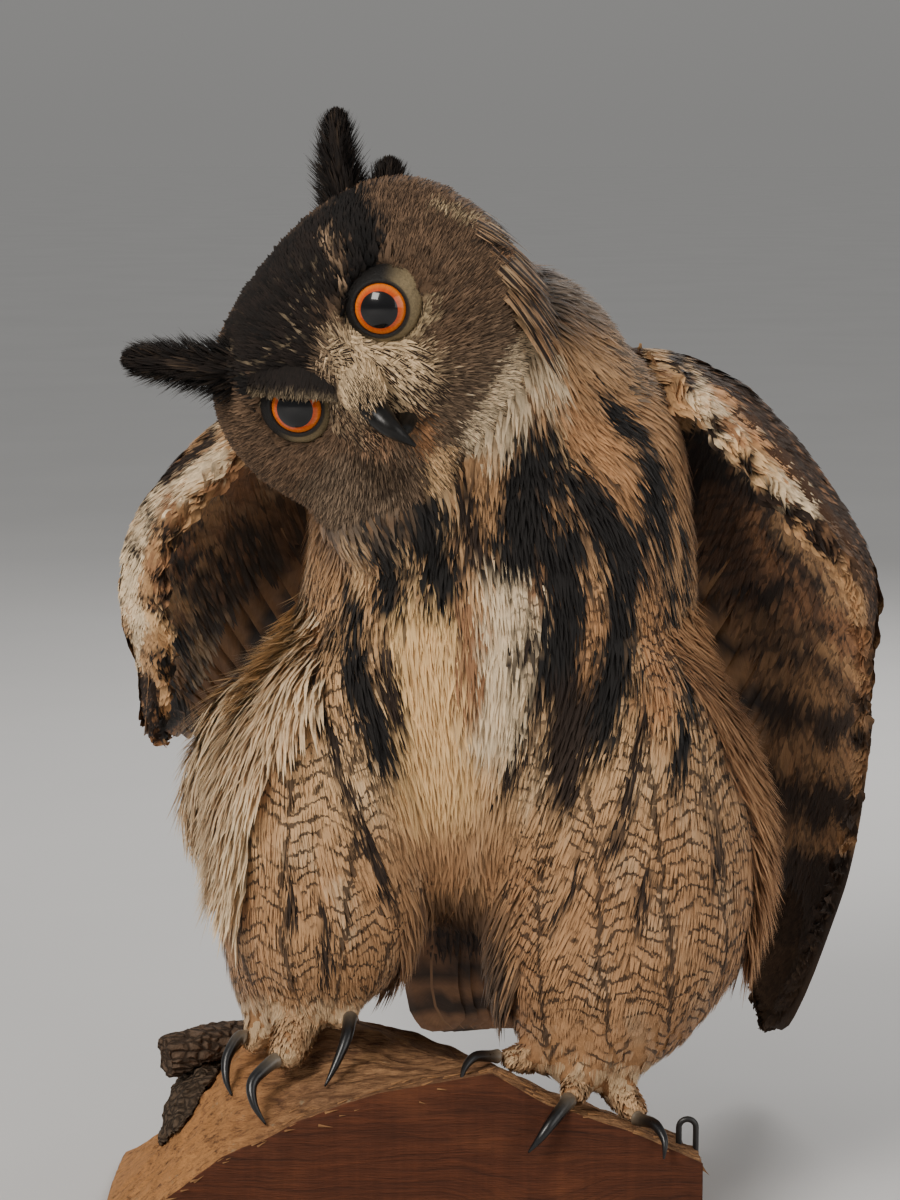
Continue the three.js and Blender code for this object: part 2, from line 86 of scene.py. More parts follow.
# [colour, half width, points along the lie], in millimetres
BODY_MARKS = [
    ("beard", 17, [[-56, -98, 385], [-46, -100, 372], [-34, -102, 366]]),
    ("beard", 9, [[-66, -85, 380], [-56, -90, 360]]),
    ("butter", 16.3, [[-15, -81, 319], [-12, -76, 274], [-5, -65, 233]]),
    ("white", 12.8, [[31, -87, 341], [27, -85, 305], [24, -77, 262]]),
    ("cream", 9.8, [[-74, -11, 342], [-79, -26, 304], [-77, -72, 273]]),
    ("orange", 11.3, [[51, -84, 414], [71, -68, 403], [83, -68, 379]]),
    ("tan", 12.6, [[66, -68, 450], [93, -20, 437], [118, -11, 401]]),
    ("orange", 4.7, [[46, -82, 381], [46, -85, 353], [45, -86, 334]]),
    ("rust", 3.4, [[2, -85, 334], [9, -87, 315], [10, -80, 275]]),
    ("rust", 4.2, [[33, -88, 347], [52, -84, 333]]),
    ("orange", 7.1, [[71, -78, 328], [68, -76, 289]]),
    ("orange", 7.2, [[96, -63, 340], [102, -56, 309], [98, -80, 275]]),
    ("tan", 4.0, [[124, -20, 375], [127, -3, 326]]),
    ("orange", 4.2, [[-33, -106, 377], [-33, -100, 362]]),
    ("cream", 4.7, [[-48, -91, 357], [-47, -62, 335]]),
    ("cream", 3.3, [[-25, -96, 358], [-17, -81, 337]]),
    ("white", 11.1, [[39, -91, 451], [29, -99, 429], [23, -96, 410]]),
    ("white", 5.6, [[47, -85, 450], [51, -85, 428]]),
    ("cream", 5.1, [[-2, -101, 402], [0, -88, 365]]),
    ("cream", 3.8, [[51, -83, 409], [57, -76, 394]]),
    ("cream", 14.8, [[-119, -7, 263], [-111, -48, 234], [-104, -65, 208]]),
    ("black", 10.3, [[43, -85, 402], [36, -84, 378], [31, -87, 353]]),
    ("black", 9.3, [[-12, -104, 393], [-8, -94, 363], [-5, -84, 337]]),
    ("black", 6.6, [[-33, -100, 362], [-30, -73, 329]]),
    ("black", 3.3, [[-60, -77, 357], [-60, -54, 309]]),
    ("black", 4.8, [[-50, -59, 329], [-47, -64, 313]]),
    ("black", 10.4, [[61, -77, 386], [77, -73, 365], [90, -68, 348]]),
    ("black", 5.3, [[75, -63, 425], [91, -51, 410], [103, -50, 381], [107, -52, 348]]),
    ("black", 2.9, [[109, -39, 390], [117, -35, 355], [119, -32, 325]]),
    ("black", 3.4, [[107, -52, 333], [117, -47, 298], [115, -71, 273], [110, -84, 242]]),
    ("black", 9.5, [[53, -83, 359], [55, -83, 324], [50, -79, 287]]),
    ("black", 7.2, [[85, -71, 343], [82, -70, 307], [74, -80, 280], [66, -81, 263]]),
    ("black", 3.8, [[95, -55, 392], [97, -61, 356]]),
    ("dark", 7.2, [[57, -78, 286], [54, -75, 254], [51, -75, 235]]),
    ("dark", 4.2, [[9, -84, 381], [13, -87, 353]]),
    ("black", 5.3, [[-49, -67, 304], [-40, -78, 282], [-30, -78, 250]]),
    ("dark", 2.4, [[-69, -59, 298], [-59, -81, 270], [-50, -85, 241]]),
    ("dark", 3.3, [[-34, -71, 305], [-26, -74, 281], [-23, -74, 266]]),
    ("dark", 2.2, [[-85, -45, 290], [-83, -76, 252]]),
    ("dark", 2.2, [[-94, -60, 267], [-98, -68, 238], [-103, -66, 208]]),
    ("dark", 2.2, [[-47, -85, 237], [-36, -77, 206], [-26, -65, 180]]),
    ("dark", 2.4, [[36, -87, 315], [31, -84, 294]]),
    ("dark", 2.2, [[41, -81, 285], [34, -74, 254], [27, -66, 232]]),
    ("dark", 2.2, [[95, -77, 284], [90, -85, 256], [77, -86, 213]]),
    ("dark", 2.4, [[87, -87, 238], [72, -86, 203]]),
    ("dark", 1.8, [[62, -81, 207], [56, -78, 186], [47, -73, 167]]),
    ("dark", 2.0, [[93, -89, 204], [91, -87, 166]]),
    ("dark", 1.8, [[123, -77, 242], [133, -75, 210], [130, -77, 186]]),
    ("dark", 1.8, [[-79, -82, 197], [-79, -76, 161]]),
    ("dark", 1.8, [[-63, -84, 188], [-61, -65, 137]]),
]
HEAD_MARKS = [
    ("crown", 15.8, [[-60, -103, 511], [-87, -88, 489], [-99, -95, 466]]),
    ("crown", 17.5, [[-70, -114, 484], [-86, -108, 461], [-66, -117, 444]]),
    ("crown", 9.3, [[-106, -92, 452], [-97, -102, 446]]),
    ("brow", 1.7, [[-58, -109, 508], [-51, -120, 493], [-47, -123, 477], [-48, -124, 463]]),
    ("brow", 4.1, [[-54, -122, 456], [-58, -119, 438]]),
    ("black", 6.9, [[-49, -82, 525], [-38, -118, 507], [-40, -122, 494]]),
    ("black", 2.9, [[-42, -123, 491], [-44, -123, 477], [-43, -121, 463]]),
    ("black", 4.2, [[-113, -95, 442], [-97, -101, 437], [-84, -107, 430]]),
    ("lash", 2.8, [[-84, -107, 431], [-69, -113, 428], [-55, -117, 431]]),
    ("bristle", 9.1, [[-43, -125, 456], [-29, -127, 438], [-20, -127, 425]]),
    ("bristle", 7.3, [[-34, -124, 456], [-14, -126, 445]]),
    ("bristle", 5.4, [[-47, -124, 452], [-45, -131, 434]]),
    ("beard", 15.8, [[-56, -98, 373], [-49, -103, 383], [-36, -106, 374]]),
    ("mottle", 7.4, [[-36, -111, 399], [-27, -107, 388]]),
    ("skin", 4.1, [[-36, -117, 412], [-28, -115, 407]]),
    ("rust", 3.7, [[-15, -120, 423], [-10, -111, 406]]),
    ("white", 11.6, [[41, -90, 451], [29, -99, 429], [23, -96, 410]]),
    ("rust", 5.7, [[41, -42, 490], [43, -72, 474]]),
    ("black", 3.6, [[23, -84, 508], [43, -39, 490], [49, -69, 473], [47, -83, 458]]),
    ("pale", 4.1, [[-23, -124, 463], [-10, -127, 471]]),
    ("nape", 12.5, [[62, -44, 477], [72, -10, 462]]),
    ("rust", 4.5, [[30, -94, 494], [37, -88, 484], [42, -84, 474]]),
    ("black", 1.8, [[16, -103, 505], [26, -98, 500], [34, -92, 492], [42, -80, 482], [47, -76, 470]]),
    ("pale", 2.2, [[-5, -101, 521], [11, -96, 514], [26, -82, 506]]),
]

# ------------------------------------------------------------------ wings, tail and legs

WINGS = {
    "left": {
        "lead": [
            [84, 8, 444], [122, -22, 418], [160, -38, 376], [190, -36, 344], [203, -18, 308], [210, 14, 266],
            [213, 60, 204], [209, 105, 146], [201, 148, 94], [187, 190, 42],
        ],
        "trail": [
            [54, 72, 378], [92, 112, 326], [120, 137, 275], [140, 152, 228], [150, 162, 182], [157, 171, 142],
            [163, 179, 108], [170, 186, 76], [177, 194, 52], [182, 200, 36],
        ],
        "hollow": [24, 36, 38, 34, 28, 21, 15, 10, 6, 2],
    },
    "right": {
        "lead": [
            [-48, 4, 436], [-84, -6, 412], [-112, -18, 388], [-135, -34, 360], [-142, -34, 328],
            [-141, -14, 296], [-149, 26, 250], [-155, 86, 230], [-161, 160, 220], [-162, 240, 208],
        ],
        "trail": [
            [-14, 74, 362], [-48, 114, 324], [-76, 141, 291], [-98, 160, 262], [-110, 174, 242],
            [-120, 188, 228], [-130, 203, 218], [-140, 220, 212], [-149, 240, 208], [-156, 253, 205],
        ],
        "hollow": [-24, -28, -30, -28, -24, -18, -13, -9, -6, -2],
    },
}
# [colour, half width, points across and up], seen square from the front
WING_MARKS = {
    "left": [
        ("rust", 9, [[155, 269], [162, 246], [165, 222]]), ("tan", 5.5, [[184, 253], [195, 250]]),
        ("cream", 6.5, [[101, 443], [108, 434], [116, 423]]), ("white", 6.6, [[120, 420], [133, 406], [142, 398]]),
        ("cream", 6.2, [[142, 398], [151, 389], [158, 383]]), ("white", 4.6, [[160, 381], [167, 376], [172, 369]]),
        ("tan", 4.2, [[107, 429], [115, 415], [121, 405]]), ("tan", 4.6, [[168, 362], [173, 351], [177, 343]]),
        ("tan", 4.4, [[187, 339], [193, 331], [199, 315]]), ("rust", 4.4, [[179, 322], [183, 306]]),
        ("rust", 4.4, [[199, 304], [203, 289]]), ("rust", 3.8, [[155, 355], [163, 340], [168, 328]]),
        ("tan", 2.8, [[189, 288], [200, 284], [205, 280]]), ("rust", 2.2, [[112, 446], [123, 441]]),
        ("orange", 2.0, [[131, 423], [137, 418]]), ("orange", 2.0, [[141, 412], [147, 404]]),
        ("orange", 1.8, [[150, 401], [156, 395]]), ("orange", 1.8, [[161, 390], [165, 384]]),
        ("rust", 1.8, [[133, 411], [140, 402]]), ("dark", 2.0, [[110, 438], [115, 438]]),
        ("dark", 1.8, [[115, 434], [119, 428]]), ("dark", 1.8, [[128, 412], [131, 408]]),
        ("dark", 2.2, [[144, 394], [146, 389]]), ("dark", 2.8, [[127, 401], [135, 390], [143, 382]]),
        ("dark", 3.6, [[153, 377], [158, 370], [163, 367]]), ("dark", 1.8, [[164, 371], [171, 366]]),
        ("dark", 3.1, [[176, 361], [181, 353], [186, 349]]), ("dark", 4.4, [[156, 313], [165, 313], [174, 317]]),
        ("dark", 6.6, [[164, 300], [171, 287], [180, 278]]), ("dark", 4.4, [[185, 272], [198, 268], [207, 263]]),
        ("dark", 4.8, [[196, 261], [202, 252], [206, 240]]), ("dark", 1.8, [[176, 330], [190, 322]]),
        ("dark", 1.8, [[182, 300], [198, 296]]), ("dark", 1.8, [[168, 345], [178, 333]]),
    ],
    "right": [
        ("rust", 7, [[-112, 387], [-108, 369]]), ("rust", 6, [[-119, 353], [-112, 346]]),
        ("tan", 5.2, [[-135, 355], [-132, 342]]), ("tan", 4.6, [[-129, 369], [-122, 357]]),
        ("tan", 4.6, [[-130, 341], [-122, 337]]), ("tan", 6.0, [[-148, 338], [-142, 324]]),
        ("cream", 5.0, [[-144, 319], [-141, 304], [-136, 307]]), ("rust", 4.8, [[-139, 344], [-138, 328]]),
        ("white", 4.0, [[-114, 392], [-125, 383]]), ("white", 4.2, [[-132, 379], [-146, 369]]),
        ("white", 3.6, [[-147, 364], [-153, 351]]), ("white", 4.6, [[-156, 342], [-159, 325]]),
        ("white", 4.3, [[-157, 318], [-153, 308]]), ("tan", 3.8, [[-145, 303], [-144, 291]]),
        ("white", 2.2, [[-156, 302], [-158, 283], [-157, 266]]), ("orange", 3.4, [[-158, 261], [-156, 250], [-153, 233]]),
        ("dark", 4.4, [[-122, 400], [-133, 390], [-143, 381]]), ("tan", 2.0, [[-126, 399], [-130, 394]]),
        ("dark", 1.8, [[-152, 368], [-148, 363]]), ("dark", 2.6, [[-144, 359], [-135, 358], [-130, 354]]),
        ("rust", 2.0, [[-139, 371], [-135, 364]]), ("dark", 1.8, [[-158, 349], [-152, 345]]),
        ("dark", 2.0, [[-137, 351], [-133, 344]]), ("dark", 1.8, [[-143, 338], [-134, 333], [-124, 336]]),
        ("dark", 1.8, [[-141, 328], [-130, 325], [-119, 328]]), ("dark", 2.0, [[-138, 316], [-128, 314], [-117, 318]]),
        ("mottle", 5.0, [[-131, 311], [-122, 305], [-113, 310]]), ("mottle", 4.6, [[-132, 295], [-126, 288], [-119, 282]]),
        ("dark", 1.8, [[-149, 324], [-141, 320]]), ("black", 3.6, [[-144, 293], [-141, 286]]),
        ("dark", 7.5, [[-149, 270], [-149, 246]]), ("black", 4.6, [[-144, 262], [-141, 244]]),
        ("tan", 1.8, [[-146, 279], [-142, 262], [-139, 248]]), ("mottle", 10.6, [[-105, 339], [-98, 320]]),
    ],
}
WING_THICK = [30, 30, 27, 24, 20, 15, 11, 8, 6, 4]
WING_THIN = [7, 6, 6, 5, 5, 4, 4, 3.5, 3, 2.5]
TAIL_KEYS = [
    [20, 40, 236, 40, 28], [21, 66, 206, 46, 24], [23, 96, 168, 44, 15], [26, 130, 122, 46, 8],
    [28, 162, 80, 50, 5], [29, 184, 50, 46, 3.5], [30, 193, 38, 34, 2.5],
]
TUFTS = {
    "left_tall": [
        [-45, -76, 486, 15, 9], [-48, -70, 512, 13, 8], [-52, -64, 534, 11.5, 6],
        [-53, -61, 553, 9.5, 4.5], [-53, -60, 566, 2.5, 1.5],
    ],
    "left_short": [
        [-33, -76, 488, 15, 9], [-31, -68, 508, 12.5, 8], [-29, -63, 528, 10, 6], [-28, -61, 543, 2.5, 2],
    ],
    "right": [
        [-92, -88, 441, 12, 9], [-112, -88, 443.5, 9.5, 8], [-130, -86, 445.5, 10.5, 7],
        [-145, -85, 446.5, 8.5, 5], [-156, -85, 448, 2.5, 1.5],
    ],
}
TALON_KEYS = {
    "toe_right_inner": [[-49.5, -51, 119, 4], [-49.5, -54, 119, 3.5], [-51, -63, 112, 2.9], [-56, -70, 101, 1.9], [-61, -75, 92, 0.5]],
    "toe_right_middle": [[-85, -68, 103, 4], [-88, -71, 102, 3.5], [-96, -78, 95, 2.9], [-95, -84, 86, 1.9], [-89, -88, 77, 0.5]],
    "toe_right_outer": [[-103, -34, 104, 3.8], [-106, -36, 104, 3.2], [-111, -43, 96, 2.6], [-111, -49, 87, 1.7], [-108, -53, 80, 0.5]],
    "toe_right_hind": [[-54, 27, 108, 3.8], [-54, 30, 108, 3.2], [-53, 38, 105, 2.6], [-52, 46, 97, 1.7], [-51, 50, 89, 0.5]],
    "toe_left_inner": [[23, -68, 105, 3.6], [20, -71, 106, 3], [12, -80, 108.5, 2.5], [7, -87, 105, 1.6], [5, -94, 99, 0.5]],
    "toe_left_middle": [[57, -88, 89, 4.2], [56, -92, 89, 3.6], [49, -101, 83, 3], [43, -105, 76, 2], [37.5, -105, 69, 0.5]],
    "toe_left_outer": [[91, -78, 77, 3.8], [93, -81, 77, 3.2], [99, -91, 78, 2.7], [103, -99, 73, 1.8], [102.5, -103, 65, 0.5]],
    "toe_left_hind": [[77, 16, 69, 3.8], [77, 19, 69, 3.2], [78, 28, 66, 2.6], [79, 36, 58, 1.7], [79, 40, 50, 0.5]],
}
BILL_UPPER = [[0, -6, -10, 10], [-1, 8, -19, 10], [-1, 19, -29, 9], [0, 25, -40, 6], [0, 22, -52, 1.2]]
BILL_LOWER = [[0, -4, -40, 7.5], [0, 8, -42, 7], [0, 15, -43.5, 5.2], [0, 18, -45, 2]]

# ------------------------------------------------------------------ the log

LOG_FRONT, LOG_BACK, LOG_RIDGE = -95.0, 88.0, -5.0
LOG_ENDS = (-176.0, 122.0)
LOG_FRONT_EDGE = [
    [-176, 12], [-139, 41], [-110, 62], [-73, 80], [-35, 95], [20, 105], [47, 89], [87, 76], [122, 60],
]
LOG_RIDGE_LINE = [
    [-176, 12], [-150, 36], [-128, 66], [-107, 90], [-63, 104], [-35, 99], [10, 81], [47, 62], [122, 30],
]


# ------------------------------------------------------------------ vectors and curves


def unit(v):
    return v / np.maximum(np.linalg.norm(v, axis=-1, keepdims=True), 1e-12)


def smooth(lo, hi, x):
    t = np.clip((x - lo) / (hi - lo), 0, 1)
    return t * t * (3 - 2 * t)


def linear(rgb):
    """sRGB 0-255 as linear 0-1."""
    c = np.asarray(rgb, float) / 255
    return np.where(c <= 0.04045, c / 12.92, ((c + 0.055) / 1.055) ** 2.4)


FORWARD = unit(FACE_FORWARD)
CROWN = unit(CROWN_UP - CROWN_UP.dot(FORWARD) * FORWARD)
OWL_LEFT = np.cross(CROWN, FORWARD)


def along(keys, t):
    """Rows read between keys, smooth through every row."""
    keys = np.asarray(keys, float)
    keys = keys if keys.ndim == 2 else keys[:, None]
    last = len(keys) - 1
    span = np.clip(np.asarray(t, float), 0, 1) * last
    i = np.minimum(last - 1, span.astype(int))
    u = (span - i)[..., None]
    p0, p1 = keys[np.maximum(i - 1, 0)], keys[i]
    p2, p3 = keys[i + 1], keys[np.minimum(i + 2, last)]
    slope, after = (p2 - p0) / 2, (p3 - p1) / 2
    bend = 3 * (p2 - p1) - 2 * slope - after
    ease = 2 * (p1 - p2) + slope + after
    return p1 + u * (slope + u * (bend + u * ease))


def head_point(left, ahead, up):
    left, ahead, up = (np.asarray(c, float)[..., None] * MM for c in (left, ahead, up))
    return EYES_AT + left * OWL_LEFT + ahead * FORWARD + up * CROWN


def head_coords(points):
    """Distances to the owl's left, ahead of and above the middle of the eyes, in millimetres."""
    rel = (points - EYES_AT) / MM
    return rel @ OWL_LEFT, rel @ FORWARD, rel @ CROWN


def ripple(points, scale, seed=0):
    """Smooth repeatable noise from -1 to 1, from sums of turned waves."""
    rng = np.random.default_rng(seed)
    total = np.zeros(points.shape[:-1])
    for k in range(6):
        direction = unit(rng.normal(size=3)) * (1 + 0.35 * k)
        total = total + np.sin(points @ direction * (2 * math.pi / scale) + rng.uniform(0, 6.28)) / (1 + 0.3 * k)
    return total / 3.2


# ------------------------------------------------------------------ meshes


def make_mesh(name, co, quads, tris=None, uvs=None, colours=None, vectors=None, flat=False):
    """A mesh object from arrays: corners by vertex, with named UV maps, colours and vectors."""
    mesh = bpy.data.meshes.new(name)
    quads = np.asarray(quads, np.int64).reshape(-1, 4)
    tris = np.asarray(tris if tris is not None else [], np.int64).reshape(-1, 3)
    loops = np.concatenate([quads.ravel(), tris.ravel()])
    mesh.vertices.add(len(co))
    mesh.vertices.foreach_set("co", np.asarray(co, np.float32).ravel())
    mesh.loops.add(len(loops))
    mesh.loops.foreach_set("vertex_index", loops.astype(np.int32))
    starts = np.concatenate([np.arange(len(quads)) * 4, 4 * len(quads) + np.arange(len(tris)) * 3])
    mesh.polygons.add(len(starts))
    mesh.polygons.foreach_set("loop_start", starts.astype(np.int32))
    mesh.polygons.foreach_set("use_smooth", np.full(len(starts), not flat))
    for key, uv in (uvs or {}).items():
        layer = mesh.uv_layers.new(name=key)
        layer.data.foreach_set("uv", np.asarray(uv, np.float32)[loops].ravel())
    for key, rgb in (colours or {}).items():
        rgba = np.concatenate([rgb, np.ones((len(rgb), 1))], axis=1)
        layer = mesh.attributes.new(key, "FLOAT_COLOR", "POINT")
        layer.data.foreach_set("color", rgba.astype(np.float32).ravel())
    for key, vector in (vectors or {}).items():
        layer = mesh.attributes.new(key, "FLOAT_VECTOR", "POINT")
        layer.data.foreach_set("vector", np.asarray(vector, np.float32).ravel())
    mesh.update()
    mesh.validate()
    obj = bpy.data.objects.new(name, mesh)
    bpy.context.scene.collection.objects.link(obj)
    return obj


def finish_piece(obj, material, slot, *nodes):
    """Gives a piece its material, its body, its slot and the CAD nodes that it stands for."""
    obj.data.materials.clear()
    obj.data.materials.append(material)
    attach(obj, BODY)
    if nodes:
        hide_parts(*nodes)
    return obj


def rings_mesh(rings, close_start=True, close_end=True):
    """Vertices, quads and triangles of a skin over rings of points, facing outwards."""
    count, sides = len(rings), rings.shape[1]
    co = rings.reshape(-1, 3)
    i, j = np.meshgrid(np.arange(count - 1), np.arange(sides), indexing="ij")
    a = (i * sides + j).ravel()
    b = (i * sides + (j + 1) % sides).ravel()
    quads = np.stack([a, b, b + sides, a + sides], axis=1)
    tris = []
    k = np.arange(sides)
    if close_start:
        co = np.vstack([co, rings[0].mean(0)])
        tris.append(np.stack([np.full(sides, len(co) - 1), (k + 1) % sides, k], axis=1))
    if close_end:
        co = np.vstack([co, rings[-1].mean(0)])
        base = (count - 1) * sides
        tris.append(np.stack([np.full(sides, len(co) - 1), base + k, base + (k + 1) % sides], axis=1))
    tris = np.concatenate(tris) if tris else np.zeros((0, 3), int)
    p = co[quads]
    volume = (np.cross(p[:, 0], p[:, 1]) * p[:, 2]).sum() + (np.cross(p[:, 0], p[:, 2]) * p[:, 3]).sum()
    if len(tris):
        q = co[tris]
        volume += (np.cross(q[:, 0], q[:, 1]) * q[:, 2]).sum()
    if volume < 0:
        quads, tris = quads[:, ::-1], tris[:, ::-1]
    return co, quads, tris


def tube_rings(keys, count, sides, flatten=1.0):
    """Rings round a path of [x, y, z, radius] keys in millimetres."""
    rows = along(keys, np.linspace(0, 1, count + 1))
    centre = rows[:, :3] * MM
    run = unit(np.gradient(centre, axis=0))
    across = unit(np.cross(run, [0, 0.02, 1]))
    rise = np.cross(across, run)
    angle = np.linspace(0, 2 * math.pi, sides, endpoint=False)
    radius = rows[:, 3][:, None, None] * MM
    return (
        centre[:, None]
        + across[:, None] * np.cos(angle)[None, :, None] * radius
        + rise[:, None] * np.sin(angle)[None, :, None] * radius * flatten
    )


def join_parts(parts):
    """One set of vertices, quads and triangles from several."""
    co, quads, tris, first = [], [], [], 0
    for c, q, t in parts:
        co.append(c)
        quads.append(q + first)
        tris.append(t + first)
        first += len(c)
    return np.concatenate(co), np.concatenate(quads), np.concatenate(tris)


def mesh_arrays(mesh):
    """Vertices, triangles and vertex normals of a mesh."""
    mesh.calc_loop_triangles()
    co = np.zeros(len(mesh.vertices) * 3, np.float32)
    mesh.vertices.foreach_get("co", co)
    tri = np.zeros(len(mesh.loop_triangles) * 3, np.int32)
    mesh.loop_triangles.foreach_get("vertices", tri)
    normal = np.zeros(len(mesh.vertices) * 3, np.float32)
    mesh.vertex_normals.foreach_get("vector", normal)
    return co.reshape(-1, 3).astype(float), tri.reshape(-1, 3), normal.reshape(-1, 3).astype(float)


def remeshed(obj, voxel, turns):
    """The object's surface as one even mesh of about that cell size, then smoothed."""
    modifier = obj.modifiers.new("even", "REMESH")
    modifier.mode = "VOXEL"
    modifier.voxel_size = voxel
    soften = obj.modifiers.new("soften", "SMOOTH")
    soften.factor = 0.5
    soften.iterations = turns
    evaluated = obj.evaluated_get(bpy.context.evaluated_depsgraph_get())
    mesh = bpy.data.meshes.new_from_object(evaluated)
    obj.modifiers.clear()
    old = obj.data
    obj.data = mesh
    bpy.data.meshes.remove(old)


# ------------------------------------------------------------------ shader nodes


class Shader:
    """Short calls for building one procedural material."""

    def __init__(self, name, roughness=0.6, specular=0.5, **fixed):
        self.material = bpy.data.materials.new(name)
        self.material.use_nodes = True
        self.nodes = self.material.node_tree.nodes
        self.links = self.material.node_tree.links
        self.out = self.nodes["Principled BSDF"]
        self.out.inputs["Roughness"].default_value = roughness
        self.out.inputs["Specular IOR Level"].default_value = specular
        for key, value in fixed.items():
            self.out.inputs[key.replace("_", " ")].default_value = value

    def link(self, source, target):
        if isinstance(source, (int, float)):
            target.default_value = source
        elif isinstance(source, tuple):
            target.default_value = tuple(source) + ((1.0,) if len(source) == 3 and len(target.default_value) == 4 else ())
        else:
            self.links.new(source, target)

    def add(self, kind, inputs=(), **settings):
        node = self.nodes.new(kind)
        for key, value in settings.items():
            setattr(node, key, value)
        for key, value in dict(inputs).items():
            self.link(value, node.inputs[key])
        return node

    def math(self, operation, a, b=0.0, c=0.0, clamp=False):
        node = self.add("ShaderNodeMath", {0: a, 1: b, 2: c}, operation=operation)
        node.use_clamp = clamp
        return node.outputs[0]

    def step(self, value, lo, hi):
        """0 below lo and 1 above hi, or the other way round where lo is the larger."""
        node = self.add("ShaderNodeMapRange", {"Value": value, "From Min": lo, "From Max": hi})
        node.interpolation_type = "SMOOTHSTEP"
        node.clamp = True
        return node.outputs["Result"]

    def noise(self, vector, scale, detail=3.0, rough=0.55, colour=False):
        node = self.add("ShaderNodeTexNoise", {"Scale": scale, "Detail": detail, "Roughness": rough})
        self.links.new(vector, node.inputs["Vector"])
        return node.outputs["Color" if colour else "Fac"]

    def mix(self, factor, a, b, blend="MIX"):
        node = self.nodes.new("ShaderNodeMix")
        node.data_type = "RGBA"
        node.blend_type = blend
        sockets = [s for s in node.inputs if s.type == "RGBA"]
        self.link(factor, node.inputs[0])
        self.link(a, sockets[0])
        self.link(b, sockets[1])
        return [s for s in node.outputs if s.type == "RGBA"][0]

    def split(self, vector):
        return self.add("ShaderNodeSeparateXYZ", {0: vector}).outputs

    def join(self, x, y, z=0.0):
        return self.add("ShaderNodeCombineXYZ", {0: x, 1: y, 2: z}).outputs[0]

    def scaled(self, vector, scale, place=(0.0, 0.0, 0.0)):
        return self.add("ShaderNodeMapping", {"Vector": vector, "Scale": scale, "Location": place}).outputs[0]

    def place(self):
        return self.add("ShaderNodeTexCoord").outputs["Object"]

    def uv(self, name):
        return self.add("ShaderNodeUVMap", uv_map=name).outputs[0]

    def attribute(self, name, output="Color"):
        return self.add("ShaderNodeAttribute", attribute_name=name).outputs[output]

    def bump(self, height, strength, distance=0.001):
        node = self.add("ShaderNodeBump", {"Height": height, "Strength": strength, "Distance": distance})
        self.links.new(node.outputs[0], self.out.inputs["Normal"])

    def done(self, colour=None, roughness=None):
        if colour is not None:
            self.link(colour, self.out.inputs["Base Color"])
        if roughness is not None:
            self.link(roughness, self.out.inputs["Roughness"])
        return self.material


def fern_lines(s):
    """Thin dark lines along the columns of the Fern attribute, with wavy bars that rise from them in Vs."""
    column, row, strength = s.split(s.attribute("Fern", "Vector"))
    sway = s.math("SUBTRACT", s.noise(s.place(), 55.0, 3.0), 0.5)
    column = s.math("ADD", column, s.math("MULTIPLY", sway, 0.5))
    side = s.math("ABSOLUTE", s.math("SUBTRACT", s.math("FRACT", column), 0.5))
    wave = s.math("SUBTRACT", s.noise(s.place(), 130.0, 2.0, 0.5), 0.5)
    phase = s.math("ADD", row, s.math("ADD", s.math("MULTIPLY", side, 2.6), s.math("MULTIPLY", wave, 1.5)))
    near = s.math("ABSOLUTE", s.math("SUBTRACT", s.math("FRACT", phase), 0.5))
    bar = s.step(near, 0.17, 0.09)
    patchy = s.step(s.noise(s.place(), 60.0, 2.0), 0.36, 0.5)
    shaft = s.step(s.math("ADD", side, s.math("MULTIPLY", wave, 0.06)), 0.055, 0.03)
    lines = s.math("MAXIMUM", s.math("MULTIPLY", bar, patchy), shaft)
    return s.math("MULTIPLY", lines, strength)


def feather_material(name, bars=7.0, slope=0.25, strands=34.0, bar_colour="dark", fleck=0.35, roughness=0.72, wander=1.3,
                     ferns=False, sheen=0.2, depth=0.7):
    """A vane with a dark shaft, wavy cross bars, fine barbs and flecks, over the painted tint."""
    s = Shader(name, roughness=roughness, specular=0.28)
    s.out.inputs["Sheen Weight"].default_value = sheen
    s.out.inputs["Sheen Roughness"].default_value = 0.5
    x, y, _ = s.split(s.uv("Vane"))
    shaft, barred, chance = s.split(s.attribute("Mark", "Vector"))
    tint = s.attribute("Tint")
    side = s.math("ABSOLUTE", s.math("SUBTRACT", x, 0.5))
    offset = s.math("MULTIPLY", chance, 37.0)
    wave = s.noise(s.join(s.math("MULTIPLY", x, 5.0), s.math("MULTIPLY", y, 9.0), offset), 1.0, 2.0)
    phase = s.math("ADD", s.math("MULTIPLY", y, bars), s.math("MULTIPLY", side, slope * bars))
    phase = s.math("ADD", phase, s.math("MULTIPLY", wave, wander))
    bar = s.step(s.math("FRACT", s.math("ADD", phase, chance)), 0.62, 0.74)
    bar = s.math("MULTIPLY", bar, s.step(s.math("FRACT", s.math("ADD", phase, chance)), 1.0, 0.9))
    bar = s.math("MULTIPLY", bar, barred)
    width = s.math("MULTIPLY", shaft, 0.5)
    line = s.step(side, width, s.math("MULTIPLY", width, 0.55))
    line = s.math("MULTIPLY", line, s.step(shaft, 0.02, 0.08))
    barb_place = s.join(s.math("MULTIPLY", x, strands), s.math("MULTIPLY", y, 3.0), offset)
    barb = s.noise(barb_place, 1.0, 2.0, 0.6)
    speck = s.noise(s.place(), 420.0, 2.0, 0.6)
    stain = s.math("MAXIMUM", bar, line)
    if ferns:
        stain = s.math("MAXIMUM", stain, fern_lines(s))
    colour = s.mix(stain, tint, tuple(linear(COLOURS[bar_colour])))
    light = s.math("ADD", s.math("MULTIPLY", barb, depth), s.math("MULTIPLY", speck, fleck))
    light = s.math("ADD", light, 1.04 - depth / 2 - fleck / 2)
    colour = s.mix(1.0, colour, s.join(light, light, light), "MULTIPLY")
    s.bump(barb, 0.5, 0.0008)
    return s.done(colour)


# ------------------------------------------------------------------ skin


